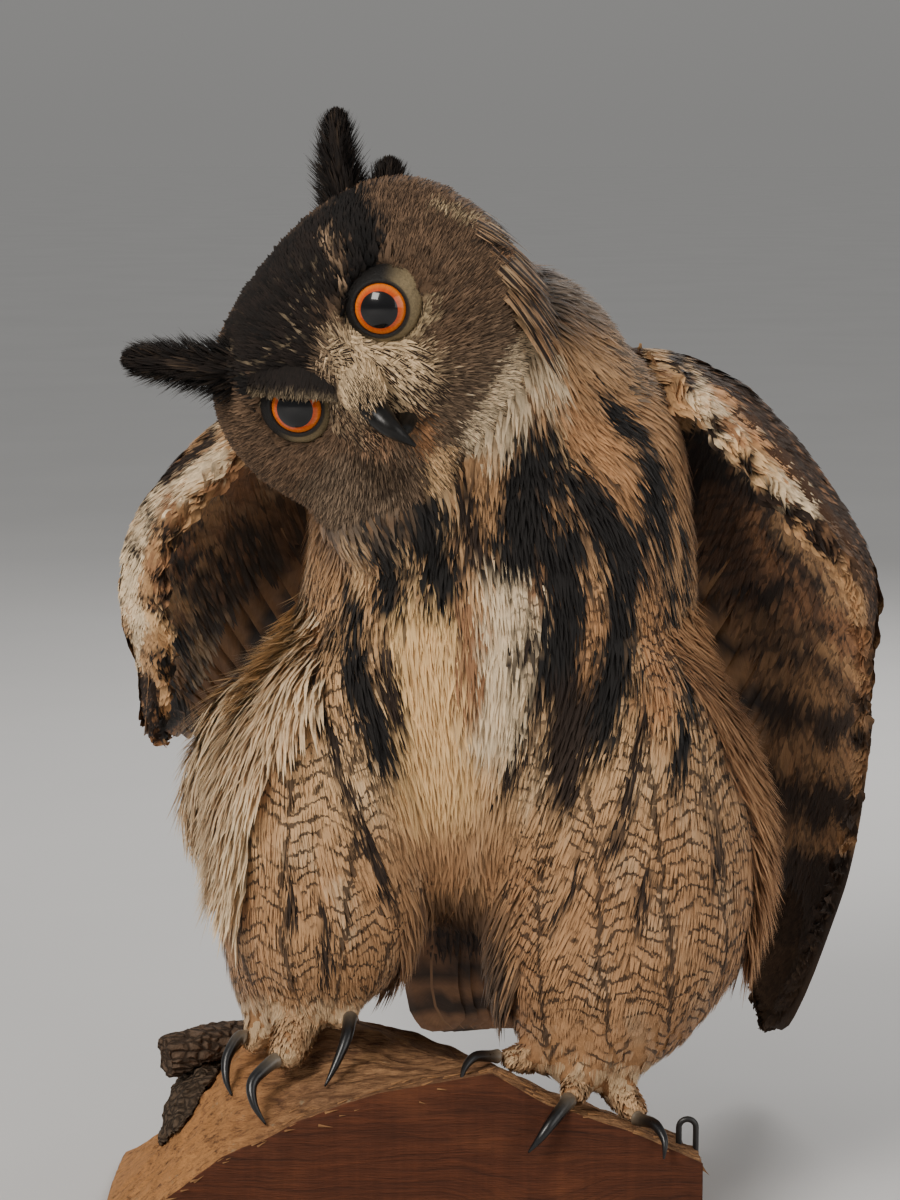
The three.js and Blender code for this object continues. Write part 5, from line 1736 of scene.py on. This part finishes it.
def build_tail(settings):
    rng = np.random.default_rng(101)
    count, steps = 12, 10
    spread = np.linspace(-1, 1, count)
    u = np.linspace(0, 1, steps + 1)
    rows = along(TAIL_KEYS, 0.12 + 0.88 * u) * MM
    centre = rows[:, :3]
    half = rows[:, 3]
    offset = spread[:, None] * (half[None] - 11 * MM)
    bow = -np.abs(spread)[:, None] ** 2 * rows[None, :, 4] * 0.7
    paths = centre[None] + TAIL_ACROSS * offset[..., None] + TAIL_DEEP * (bow + 0.0)[..., None]
    shorten = 1 - 0.07 * np.abs(spread) ** 2
    paths = at_path(paths, shorten[:, None] * u[None] * steps)
    back = TAIL_DEEP if TAIL_DEEP[1] > 0 else -TAIL_DEEP
    normals = np.tile(back, paths.shape[:2] + (1,))
    order = (1 - np.abs(spread)) * 1.6
    obj = vanes("tail_feathers", paths, normals, np.full(count, 30 * MM), order[:, None] * MM * np.ones((count, 21)), tail_colour, rng,
                rows=20, columns=6, camber=0.06, thick=0.5 * MM, tip=0.16, stalk=0.5, cells=grid_cells(count, 1))
    finish_piece(obj, flight_material(), "tail_plumage")
    for face, label in ((1, "upper"), (-1, "under")):
        n = 130
        t = rng.uniform(0.0, 0.42, n)
        a = rng.uniform(-1, 1, n)
        keys = along(TAIL_KEYS, t) * MM
        root = keys[:, :3] + TAIL_ACROSS * (a * keys[:, 3] * 0.85)[:, None]
        depth = keys[:, 4] * np.sqrt(np.clip(1 - (a * 0.85) ** 2, 0.05, 1))
        normal = back * face
        start = root + normal * (depth - 4 * MM)[:, None]
        ahead = along(TAIL_KEYS, t + 0.2) * MM
        run = unit(ahead[:, :3] - keys[:, :3])
        slim = (ahead[:, 4] - keys[:, 4]) / np.linalg.norm(ahead[:, :3] - keys[:, :3], axis=1)
        run = unit(run + normal * (slim[:, None] * 0.9 + 0.05))
        length = (50 if face > 0 else 72) * MM
        steps_at = np.linspace(0, 1, 4)
        paths = start[:, None] + run[:, None] * (length * steps_at)[None, :, None]
        place = lambda p, t=t, a=a: np.clip(np.stack([0.5 + a * 0.49, t / 0.43], 1), 0, 0.99)
        obj = plumes(f"tail_{label}_coverts", paths, np.tile(normal, (n, 4, 1)), 20 * MM, 4 * MM, upper_wing_colour if face > 0 else undertail_colour,
                     rng, fingers=8, fray=0.25, shaft=0.08, bars=0.9, unwrap=place)
        finish_piece(obj, body_material(), "tail_plumage")


# ------------------------------------------------------------------ eyes, bill and talons


def revolve(centre, axis, up, profile, sides, swell=None):
    """Rings of a profile of [radius, height] round an axis, in millimetres."""
    axis = unit(np.asarray(axis))
    right = unit(np.cross(up, axis))
    top = np.cross(axis, right)
    angle = np.linspace(0, 2 * math.pi, sides, endpoint=False)
    rings = []
    for radius, height in profile:
        r = np.full(sides, float(radius))
        if swell is not None:
            r = r * swell(angle, radius)
        rings.append(centre + axis * height * MM + (right * np.cos(angle)[:, None] + top * np.sin(angle)[:, None]) * (r * MM)[:, None])
    return np.array(rings), angle


def eye_material(settings):
    s = Shader("eye_glass", roughness=0.25, specular=0.12, Coat_Weight=0.7, Coat_Roughness=0.02, Coat_IOR=1.5)
    x, y, _ = s.split(s.uv("Vane"))
    fibre = s.noise(s.join(s.math("MULTIPLY", x, 60.0), s.math("MULTIPLY", y, 2.5), 0.0), 1.0, 3.0)
    iris_out = tuple(linear((196, 74, 14)))
    iris_in = tuple(linear((226, 116, 30)))
    iris = s.mix(s.step(y, 9.0 / 15, 11.2 / 15), iris_out, iris_in)
    light = s.math("ADD", s.math("MULTIPLY", fibre, 0.8), 0.6)
    iris = s.mix(1.0, iris, s.join(light, light, light), "MULTIPLY")
    inner = s.step(y, settings.pupil / 2 / EYE_BALL - 0.012, settings.pupil / 2 / EYE_BALL + 0.012)
    outer = s.step(y, settings.iris / 2 / EYE_BALL + 0.012, settings.iris / 2 / EYE_BALL - 0.012)
    colour = s.mix(s.math("MULTIPLY", inner, outer), (0.004, 0.004, 0.005), iris)
    return s.done(colour)


GAZE = {1: unit(FORWARD + 0.03 * OWL_LEFT), -1: unit(FORWARD - 0.03 * OWL_LEFT)}


def lid_material():
    s = Shader("lid_skin", roughness=0.6, specular=0.35)
    grain = s.noise(s.place(), 900.0, 3.0, 0.7)
    light = s.math("ADD", s.math("MULTIPLY", grain, 1.3), 0.35)
    s.bump(grain, 0.8, 0.0008)
    return s.done(s.mix(1.0, s.attribute("Tint"), s.join(light, light, light), "MULTIPLY"))


def build_eyes(settings):
    glass, lids = eye_material(settings), lid_material()
    for hand, side in ((1, "left"), (-1, "right")):
        centre = head_point(hand * EYE_SPACING / MM / 2, -EYE_DEPTH / MM, 0)
        gaze = GAZE[hand]
        ball = EYE_BALL / MM
        polar = np.concatenate([np.linspace(0.02, 1.0, 26), np.linspace(1.1, math.pi - 0.05, 14)])
        profile = [(ball * math.sin(a), ball * math.cos(a)) for a in polar]
        rings, angle = revolve(centre, gaze, CROWN, profile, 64)
        co, quads, tris = rings_mesh(rings)
        around = np.concatenate([np.tile(np.abs(angle / math.pi - 1), len(rings)), [0.5, 0.5]])
        out = np.concatenate([np.repeat([min(1.0, p[0] / ball) if a < 1.6 else 1.0 for a, p in zip(polar, profile)], 64), [0.0, 1.0]])
        eye = make_mesh(f"glass_eye_{side}", co, quads, tris, uvs={"Vane": np.stack([around, out], 1)})
        finish_piece(eye, glass, "eye_glass", f"eye_{side}")
        lid_profile = [
            (11.5, 8.4), (11.8, 9.7), (12.2, 10.4), (12.9, 10.6), (13.6, 10.3), (14.0, 9.8), (14.6, 9.1), (15.6, 8.1),
            (16.8, 6.6), (18.2, 4.2), (19.6, 1.5), (20.6, -1),
        ]
        rings, turn = revolve(centre, gaze, CROWN, lid_profile, 72, lid_swell)
        whole = np.concatenate([rings, (rings - gaze * 1.6 * MM)[::-1]])
        count, sides = whole.shape[:2]
        i, j = np.meshgrid(np.arange(count), np.arange(sides), indexing="ij")
        quads = np.stack([
            (i * sides + j).ravel(), (i * sides + (j + 1) % sides).ravel(),
            ((i + 1) % count * sides + (j + 1) % sides).ravel(), ((i + 1) % count * sides + j).ravel(),
        ], 1)
        co = whole.reshape(-1, 3)
        p = co[quads]
        volume = (np.cross(p[:, 0], p[:, 1]) * p[:, 2]).sum() + (np.cross(p[:, 0], p[:, 2]) * p[:, 3]).sum()
        quads = quads[:, ::-1] if volume < 0 else quads
        radius = np.array([r for r, _ in lid_profile])
        pale = smooth(13.4, 14.2, radius)[:, None] * smooth(-0.35, 0.45, np.cos(turn - math.radians(290)))[None]
        pale = np.concatenate([pale, pale[::-1]]).reshape(-1)
        rim = np.tile(linear((15, 12, 10)), (len(co), 1))
        tint = rim + (linear((130, 114, 84)) - rim) * pale[:, None]
        lid = make_mesh(f"eyelids_{side}", co, quads, colours={"Tint": tint})
        finish_piece(lid, lids, "head_plumage")


def lid_swell(angle, radius):
    return 1 + (0.04 * np.cos(2 * angle) + 0.03 * np.sin(3 * angle + 1)) * smooth(13, 20, radius)


def horn_material(name, root, tip, gloss=0.25, shine=0.45):
    s = Shader(name, roughness=0.34, specular=shine, Coat_Weight=gloss, Coat_Roughness=0.2)
    _, y, _ = s.split(s.uv("Vane"))
    streak = s.noise(s.scaled(s.place(), (1.0, 1.0, 0.25)), 420.0, 3.0, 0.6)
    colour = s.mix(s.step(y, 0.0, 0.45), tuple(linear(root)), tuple(linear(tip)))
    light = s.math("ADD", s.math("MULTIPLY", streak, 0.9), 0.55)
    colour = s.mix(1.0, colour, s.join(light, light, light), "MULTIPLY")
    s.bump(streak, 0.25, 0.0005)
    return s.done(colour, s.math("ADD", s.math("MULTIPLY", streak, 0.25), 0.2))


def horn(name, keys, count, sides, flatten):
    rings = tube_rings(keys, count, sides, flatten)
    co, quads, tris = rings_mesh(rings)
    y = np.concatenate([np.repeat(np.linspace(0, 1, len(rings)), sides), [0, 1]])
    x = np.concatenate([np.tile(np.linspace(0, 1, sides), len(rings)), [0.5, 0.5]])
    return co, quads, tris, np.stack([x, y], 1)


def placed_on_head(keys):
    return [list(head_point(left, ahead, up) / MM) + [radius] for left, ahead, up, radius in keys]


def build_bill(settings):
    material = horn_material("bill_horn", (58, 54, 46), (24, 23, 22), 0.03, 0.25)
    for name, keys, flatten, node in (
        ("bill_upper_horn", BILL_UPPER, 0.95, "bill_upper"), ("bill_lower_horn", BILL_LOWER, 0.7, "bill_lower"),
    ):
        co, quads, tris, uv = horn(name, placed_on_head([k[:3] + [k[3] * 0.74] for k in keys]), 30, 28, flatten)
        finish_piece(make_mesh(name, co, quads, tris, uvs={"Vane": uv}), material, "bill_horn", node)


def build_talons(settings):
    material = horn_material("talon_horn", (120, 108, 92), (14, 14, 16))
    parts, maps = [], []
    for keys in TALON_KEYS.values():
        co, quads, tris, uv = horn("talon", keys, 18, 16, 1.0)
        parts.append((co, quads, tris))
        maps.append(uv)
    co, quads, tris = join_parts(parts)
    piece = make_mesh("talons", co, quads, tris, uvs={"Vane": np.concatenate(maps)})
    finish_piece(piece, material, "talon_horn", *TALONS)


# ------------------------------------------------------------------ base


class ShapeTree:
    """A geometry node tree with named sizes, run over a plain mesh and kept as a plain mesh."""

    def __init__(self, name, sizes):
        self.tree = bpy.data.node_groups.new(name, "GeometryNodeTree")
        self.tree.interface.new_socket("Geometry", in_out="INPUT", socket_type="NodeSocketGeometry")
        for key, value in sizes.items():
            kind = "NodeSocketInt" if isinstance(value, int) else "NodeSocketFloat"
            self.tree.interface.new_socket(key, in_out="INPUT", socket_type=kind)
        self.tree.interface.new_socket("Geometry", in_out="OUTPUT", socket_type="NodeSocketGeometry")
        self.sizes = sizes
        self.inputs = self.tree.nodes.new("NodeGroupInput").outputs

    def add(self, kind, links=None, **settings):
        node = self.tree.nodes.new(kind)
        for key, value in settings.items():
            setattr(node, key, value)
        for key, value in (links or {}).items():
            if isinstance(value, bpy.types.NodeSocket):
                self.tree.links.new(value, node.inputs[key])
            else:
                node.inputs[key].default_value = value
        return node

    def grow(self, name, geometry, material, source):
        """Ends the tree at geometry, runs it on the source mesh and returns the piece."""
        real = self.add("GeometryNodeRealizeInstances", {"Geometry": geometry}).outputs[0]
        dressed = self.add("GeometryNodeSetMaterial", {"Geometry": real, "Material": material}).outputs[0]
        self.add("NodeGroupOutput", {0: dressed})
        holder = bpy.data.objects.new(name + "_source", source)
        bpy.context.scene.collection.objects.link(holder)
        modifier = holder.modifiers.new("Shape", "NODES")
        modifier.node_group = self.tree
        for item in self.tree.interface.items_tree:
            if item.in_out == "INPUT" and item.name in self.sizes:
                modifier[item.identifier] = self.sizes[item.name]
        made = bpy.data.meshes.new_from_object(holder.evaluated_get(bpy.context.evaluated_depsgraph_get()))
        holder.modifiers.clear()
        bpy.data.objects.remove(holder)
        made.name = name
        obj = bpy.data.objects.new(name, made)
        bpy.context.scene.collection.objects.link(obj)
        return obj


def log_top(x, y):
    edge = np.interp(x, *np.array(LOG_FRONT_EDGE).T)
    ridge = np.interp(x, *np.array(LOG_RIDGE_LINE).T)
    angle = (math.pi / 2) * (y - LOG_FRONT) / (LOG_RIDGE - LOG_FRONT)
    ahead = edge + (ridge - edge) * np.where(ridge > edge, np.sin(angle), 1 - np.cos(angle))
    fall = np.clip((y - LOG_RIDGE) / (LOG_BACK - LOG_RIDGE), 0, 1)
    behind = ridge * np.sqrt(np.clip(1 - fall * fall * 0.985, 0, 1))
    return np.where(y < LOG_RIDGE, ahead, behind)


def build_log(settings):
    columns, rows = 220, 96
    x = np.linspace(LOG_ENDS[0], LOG_ENDS[1], columns + 1)
    t = np.linspace(0, 1, rows + 1)
    share = np.where(t < 0.5, t, np.sin(math.pi / 2 * t) * 0.5 + t * 0.5)
    y = LOG_FRONT + (LOG_BACK - LOG_FRONT) * share
    gx, gy = np.meshgrid(x, y, indexing="ij")
    top = log_top(gx, gy)
    spot = np.stack([gx, gy * 2.6, top * 0.4], axis=2) * MM
    fibre = ripple(spot * [0.35, 1, 1], 0.013, 21) + 0.6 * ripple(spot * [0.25, 1, 1], 0.006, 22)
    lumps = ripple(spot, 0.05, 23)
    inner = np.sin(math.pi * np.clip(t, 0, 1))[None] ** 0.3
    rough = (2.0 * fibre + 2.4 * lumps) * inner * np.clip(top / 40, 0, 1)
    top = np.maximum(top + rough - 1.8 * inner, 0.4)
    depth = 12
    ring = []
    for i in range(columns + 1):
        front = np.linspace(0, 1, depth + 1)[:-1]
        face = np.stack([np.full(depth, x[i]), np.full(depth, LOG_FRONT), top[i, 0] * front], 1)
        face[:, 1] += 0.35 * np.sin(face[:, 2] * 0.9 + x[i] * 0.02) * (front > 0)
        upper = np.stack([np.full(rows + 1, x[i]), gy[i], top[i]], 1)
        under = np.stack([np.full(3, x[i]), [LOG_BACK, 30, -30], np.zeros(3)], 1)
        ring.append(np.concatenate([face, upper, under]))
    co, quads, tris = rings_mesh(np.array(ring) * MM)
    finish_piece(make_mesh("log_wood", co, quads, tris), wood_material(), "log_wood", "base_log")


def wood_material():
    s = Shader("split_wood", roughness=0.75, specular=0.25)
    place = s.place()
    x, y, z = s.split(place)
    ring = s.add("ShaderNodeVectorMath", {0: place, 1: (0.040, -0.095, 0.030)}, operation="DISTANCE").outputs["Value"]
    knot = s.step(ring, 0.016, 0.004)
    bend = s.math("MULTIPLY", s.step(ring, 0.05, 0.008), 0.010)
    warp = s.noise(s.scaled(place, (3.0, 3.0, 10.0)), 3.0, 3.0)
    band = s.math("ADD", s.math("MULTIPLY", s.math("ADD", z, bend), 520.0), s.math("MULTIPLY", warp, 14.0))
    grain = s.noise(s.join(s.math("MULTIPLY", x, 14.0), s.math("MULTIPLY", y, 14.0), band), 1.0, 5.0, 0.7)
    fine = s.noise(s.scaled(place, (0.05, 0.5, 1.0)), 1500.0, 3.0, 0.6)
    saw = s.noise(s.scaled(place, (1.0, 0.1, 0.06)), 260.0, 3.0, 0.6)
    cloud = s.noise(s.scaled(place, (0.6, 1.0, 1.6)), 26.0, 3.0, 0.6)
    face = s.step(y, -0.0925, -0.0940)
    # The sawn front face: dark red-brown grain and a knot, dark partly as the wood's own colour and partly as painted
    # shade.
    red = s.mix(s.step(grain, 0.2, 0.8), tuple(linear((62, 33, 20))), tuple(linear((98, 53, 31))))
    red = s.mix(s.math("MULTIPLY", s.step(cloud, 0.5, 0.85), 0.7), red, tuple(linear((120, 70, 42))))
    red = s.mix(s.step(grain, 0.36, 0.28), red, tuple(linear((34, 19, 13))))
    red = s.mix(s.math("MULTIPLY", knot, 0.85), red, tuple(linear((32, 18, 12))))
    torn = s.noise(s.scaled(place, (0.22, 1.0, 1.0)), 260.0, 6.0, 0.75)
    top = s.mix(s.step(torn, 0.32, 0.7), tuple(linear((84, 56, 38))), tuple(linear((196, 150, 106))))
    top = s.mix(s.math("MULTIPLY", s.step(cloud, 0.35, 0.7), 0.6), top, tuple(linear((118, 84, 62))))
    bright = s.math("MULTIPLY", s.step(x, -0.06, -0.13), s.step(torn, 0.30, 0.52))
    top = s.mix(s.math("MULTIPLY", bright, 0.8), top, tuple(linear((212, 150, 92))))
    lichen = s.step(s.noise(place, 60.0, 5.0, 0.75), 0.62, 0.70)
    top = s.mix(s.math("MULTIPLY", lichen, 0.55), top, tuple(linear((172, 158, 128))))
    colour = s.mix(face, top, red)
    light = s.math("ADD", s.math("MULTIPLY", fine, 0.6), s.math("MULTIPLY", saw, 0.5))
    light = s.math("ADD", light, 0.42)
    colour = s.mix(1.0, colour, s.join(light, light, light), "MULTIPLY")
    height = s.math("ADD", s.math("MULTIPLY", torn, s.math("SUBTRACT", 1.0, face)), s.math("MULTIPLY", fine, 0.35))
    height = s.math("ADD", height, s.math("MULTIPLY", grain, 0.3))
    s.bump(height, 0.9, 0.003)
    return s.done(colour)


def bark_material(name, pale, deep):
    s = Shader(name, roughness=0.88, specular=0.2)
    place = s.scaled(s.place(), (0.45, 1.0, 1.0))
    crack = s.add("ShaderNodeTexVoronoi", {"Vector": place, "Scale": 230.0}, feature="DISTANCE_TO_EDGE").outputs["Distance"]
    rough = s.noise(s.place(), 190.0, 5.0, 0.7)
    colour = s.mix(rough, tuple(linear(deep)), tuple(linear(pale)))
    colour = s.mix(s.math("MULTIPLY", s.step(crack, 0.14, 0.02), 0.75), colour, tuple(linear((34, 26, 20))))
    s.bump(s.math("ADD", s.step(crack, 0.0, 0.3), rough), 0.9, 0.003)
    return s.done(colour)


def rough_shell(node, voxel, amount, scale, seed):
    """A node's own shape as an even mesh, roughened by noise just under its surface."""
    co, tri, _ = mesh_arrays(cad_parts[node].data)
    obj = make_mesh(node + "_rough", co, np.zeros((0, 4), int), tri)
    remeshed(obj, voxel, 3)
    co, _, normal = mesh_arrays(obj.data)
    crust = ripple(co * [0.6, 1, 1], scale, seed) + 0.6 * ripple(co, scale * 0.45, seed + 1)
    moved = co + normal * ((crust - 0.5) * amount * MM)[:, None]
    moved[:, 2] = np.where(co[:, 2] < 0.002, co[:, 2], moved[:, 2])
    obj.data.vertices.foreach_set("co", moved.astype(np.float32).ravel())
    obj.data.update()
    obj.data.polygons.foreach_set("use_smooth", np.full(len(obj.data.polygons), True))
    return obj


def build_bark(settings):
    bark = rough_shell("base_bark", 1.6 * MM, 2.0, 0.016, 31)
    bark.name = "log_bark"
    finish_piece(bark, bark_material("grey_bark", (122, 104, 86), (64, 50, 40)), "bark", "base_bark")
    stub = rough_shell("base_branch_stub", 1.2 * MM, 1.4, 0.012, 33)
    stub.name = "branch_stub"
    finish_piece(stub, bark_material("stub_bark", (128, 106, 88), (66, 52, 42)), "bark", "base_branch_stub")


def build_wire(settings):
    s = Shader("black_wire", roughness=0.38, specular=0.5)
    mark = s.noise(s.place(), 700.0, 3.0)
    colour = s.mix(mark, (0.006, 0.006, 0.007), (0.03, 0.028, 0.026))
    s.bump(mark, 0.2, 0.0004)
    material = s.done(colour)
    x, y, top, bend, depth = 117, -62, 71, 4.2, 34
    turn = np.linspace(0, math.pi, 13)
    path = [[x - bend, y, top - depth]]
    path += [[x - bend * math.cos(a), y, top - bend + bend * math.sin(a)] for a in turn]
    path += [[x + bend, y, top - depth]]
    line = bpy.data.meshes.new("wire_path")
    line.from_pydata(np.array(path) * MM, [(i, i + 1) for i in range(len(path) - 1)], [])
    tree = ShapeTree("bent_wire", {"Wire radius": 1.5 * MM, "Sides": 16})
    curve = tree.add("GeometryNodeMeshToCurve", {"Mesh": tree.inputs["Geometry"]}).outputs[0]
    ring = tree.add("GeometryNodeCurvePrimitiveCircle", {
        "Resolution": tree.inputs["Sides"], "Radius": tree.inputs["Wire radius"]}).outputs[0]
    tube = tree.add("GeometryNodeCurveToMesh", {"Curve": curve, "Profile Curve": ring, "Fill Caps": True}).outputs[0]
    finish_piece(tree.grow("wire_loop", tube, material, line), material, "black_wire", "base_wire_loop")


def splinter_material():
    s = Shader("pale_splinters", roughness=0.8, specular=0.2)
    fibre = s.noise(s.scaled(s.place(), (0.1, 1.0, 1.0)), 500.0, 3.0)
    return s.done(s.mix(fibre, tuple(linear((104, 70, 44))), tuple(linear((178, 134, 90)))))


def build_splinters(settings):
    """Scatters torn splinters along the log's sawn top edge."""
    material = splinter_material()
    tree = ShapeTree("torn_splinters", {
        "Splinters per square metre": 20000.0, "Length": 6 * MM, "Width": 0.6 * MM, "Edge depth": 14 * MM, "Seed": 7})
    position = tree.add("GeometryNodeInputPosition").outputs[0]
    height = tree.add("ShaderNodeSeparateXYZ", {0: tree.add("GeometryNodeInputNormal").outputs[0]}).outputs["Z"]
    back = tree.add("ShaderNodeMath", {0: tree.inputs["Edge depth"], 1: LOG_FRONT * MM}, operation="ADD").outputs[0]
    across = tree.add("ShaderNodeSeparateXYZ", {0: position}).outputs["Y"]
    near = tree.add("FunctionNodeCompare", {0: across, 1: back}, operation="LESS_THAN").outputs[0]
    level = tree.add("FunctionNodeCompare", {0: height, 1: 0.4}, operation="GREATER_THAN").outputs[0]
    edge = tree.add("FunctionNodeBooleanMath", {0: near, 1: level}, operation="AND").outputs[0]
    spread = tree.add("GeometryNodeDistributePointsOnFaces", {
        "Mesh": tree.inputs["Geometry"], "Selection": edge,
        "Density": tree.inputs["Splinters per square metre"], "Seed": tree.inputs["Seed"]})
    swing = tree.add("FunctionNodeRandomValue", {2: -0.4, 3: 0.4, "Seed": tree.inputs["Seed"]}, data_type="FLOAT").outputs[1]
    turn = tree.add("FunctionNodeEulerToRotation", {
        0: tree.add("ShaderNodeCombineXYZ", {"Z": swing}).outputs[0]}).outputs[0]
    lie = tree.add("FunctionNodeAlignRotationToVector", {
        "Rotation": turn, "Vector": spread.outputs["Normal"]}, axis="Z").outputs[0]
    spike = tree.add("GeometryNodeMeshCone", {
        "Vertices": 4, "Radius Top": 0.0, "Radius Bottom": tree.inputs["Width"], "Depth": tree.inputs["Length"]}).outputs[0]
    laid = tree.add("GeometryNodeTransform", {"Geometry": spike, "Rotation": (0.0, math.radians(84), 0.0)}).outputs[0]
    size = tree.add("FunctionNodeRandomValue", {2: 0.4, 3: 1.3, "Seed": 11}, data_type="FLOAT").outputs[1]
    planted = tree.add("GeometryNodeInstanceOnPoints", {
        "Points": spread.outputs["Points"], "Instance": laid, "Rotation": lie, "Scale": size}).outputs[0]
    finish_piece(tree.grow("log_splinters", planted, material, bpy.data.objects["log_wood"].data.copy()), material, "log_wood")


# ------------------------------------------------------------------ stage


def build_stage(settings):
    s = Shader("pale_floor", roughness=0.9, specular=0.0)
    tone = s.noise(s.place(), 3.0, 3.0)
    s.done(s.mix(tone, tuple(linear((207, 207, 207))), tuple(linear((217, 217, 217)))))
    r = 40.0
    floor = make_mesh("floor", np.array([[-r, -r, 0], [r, -r, 0], [r, r, 0], [-r, r, 0]]), [[0, 1, 2, 3]])
    floor.data.materials.append(s.material)
    world = bpy.data.worlds.new("studio")
    world.use_nodes = True
    nodes, links = world.node_tree.nodes, world.node_tree.links
    place = nodes.new("ShaderNodeTexCoord")
    apart = nodes.new("ShaderNodeSeparateXYZ")
    fade = nodes.new("ShaderNodeMapRange")
    fade.inputs["From Max"].default_value = 0.45
    fade.inputs["To Min"].default_value = 0.298
    fade.inputs["To Max"].default_value = 0.46
    links.new(place.outputs["Generated"], apart.inputs[0])
    links.new(apart.outputs["Z"], fade.inputs["Value"])
    links.new(fade.outputs["Result"], nodes["Background"].inputs["Strength"])
    nodes["Background"].inputs["Color"].default_value = (0.80, 0.79, 0.77, 1)
    bpy.context.scene.world = world
    for name, place, size, power, colour in (
        ("key", (-1.0, -1.5, 1.5), 0.8, 36, (1.0, 0.94, 0.87)), ("fill", (1.5, -1.1, 0.8), 1.2, 9, (1.0, 0.96, 0.92)),
        ("back", (0.6, 1.4, 1.3), 0.9, 16, (1.0, 0.96, 0.92)),
    ):
        light = bpy.data.lights.new(name, "AREA")
        light.size, light.energy, light.color = size, power, colour
        lamp = bpy.data.objects.new(name, light)
        lamp.location = place
        aim = np.array([0, 0, 0.3]) - np.array(place)
        lamp.rotation_euler = Vector(aim).to_track_quat("-Z", "Y").to_euler()
        bpy.context.scene.collection.objects.link(lamp)
    lens = bpy.data.cameras.new("camera")
    lens.lens, lens.sensor_width = 90.0, 36.0
    lens.clip_start, lens.clip_end = 0.05, 50
    camera = bpy.data.objects.new("camera", lens)
    camera.location = (0.0, -1.4815, 0.5547)
    camera.rotation_euler = (math.radians(81.0), 0.0, 0.0)
    bpy.context.scene.collection.objects.link(camera)
    bpy.context.scene.camera = camera


# ------------------------------------------------------------------ the add-on


class OwlSettings(bpy.types.PropertyGroup):
    """Sizes that a user would change."""

    skin_cell: bpy.props.FloatProperty(
        name="Skin cell", description="Cell size of the skin's even mesh", default=2.8 * MM, unit="LENGTH")
    pupil: bpy.props.FloatProperty(
        name="Pupil", description="Width of the black pupil", default=17.2 * MM, unit="LENGTH")
    iris: bpy.props.FloatProperty(
        name="Iris", description="Width of the orange iris", default=23.6 * MM, unit="LENGTH")


def make_operator(key, label, doc, build):
    def execute(self, context):
        build(context.scene.owl)
        return {"FINISHED"}
    return type(f"OWL_OT_{key}", (bpy.types.Operator,), {
        "bl_idname": f"owl.{key}", "bl_label": label, "__doc__": doc, "execute": execute,
    })


OPERATORS = [
    make_operator("skin", "Skin", "Build the one skin under the coat", build_skin),
    make_operator("trunk_coat", "Trunk Coat", "Lay the breast, belly and back feathers", build_trunk_coat),
    make_operator("neck_coat", "Neck Coat", "Lay the ruff and throat feathers", build_neck_coat),
    make_operator("head_coat", "Head Coat", "Lay the fur-like feathers of face and crown", build_head_coat),
    make_operator("nape", "Nape", "Lay the striped feathers and fluff of the nape", build_nape),
    make_operator("brow", "Brow", "Hang the brow's feathers over the right eye", build_brow),
    make_operator("bristles", "Bristles", "Lay the bristle fans beside the bill", build_bristles),
    make_operator("ear_tufts", "Ear Tufts", "Feather the ear tufts", build_ear_tufts),
    make_operator("leg_coats", "Leg Coats", "Lay the barred feathers of both legs", build_leg_coats),
    make_operator("toe_coat", "Toe Coat", "Lay the short fluff of the toes", build_toe_coat),
    make_operator("flank", "Flank", "Lay the long white flank feathers", build_flank),
    make_operator("wings", "Wings", "Lay coverts and flight feathers on both wings", build_wings),
    make_operator("tail", "Tail", "Lay the tail feathers and their coverts", build_tail),
    make_operator("eyes", "Eyes", "Make the glass eyes and their lids", build_eyes),
    make_operator("bill", "Bill", "Make both halves of the bill", build_bill),
    make_operator("talons", "Talons", "Make the eight talons", build_talons),
    make_operator("log", "Log", "Make the sawn half log", build_log),
    make_operator("splinters", "Splinters", "Scatter torn splinters along the log's sawn edge", build_splinters),
    make_operator("bark", "Bark", "Make the bark and the branch stub", build_bark),
    make_operator("wire", "Wire", "Make the bent wire", build_wire),
    make_operator("stage", "Stage", "Set up floor, lights and camera", build_stage),
]


class OWL_PT_panel(bpy.types.Panel):
    """Lists the sizes and the build steps."""

    bl_label = "Eagle-Owl"
    bl_idname = "OWL_PT_panel"
    bl_space_type = "VIEW_3D"
    bl_region_type = "UI"
    bl_category = "Eagle-Owl"

    def draw(self, context):
        for key in ("skin_cell", "pupil", "iris"):
            self.layout.prop(context.scene.owl, key)
        for operator in OPERATORS:
            self.layout.operator(operator.bl_idname)


CLASSES = [OwlSettings, *OPERATORS, OWL_PT_panel]


def register():
    for cls in CLASSES:
        bpy.utils.register_class(cls)
    bpy.types.Scene.owl = bpy.props.PointerProperty(type=OwlSettings)


def unregister():
    del bpy.types.Scene.owl
    for cls in reversed(CLASSES):
        bpy.utils.unregister_class(cls)


def main():
    register()
    for operator in OPERATORS:
        getattr(bpy.ops.owl, operator.bl_idname.split(".")[1])()


if __name__ == "__main__":
    main()
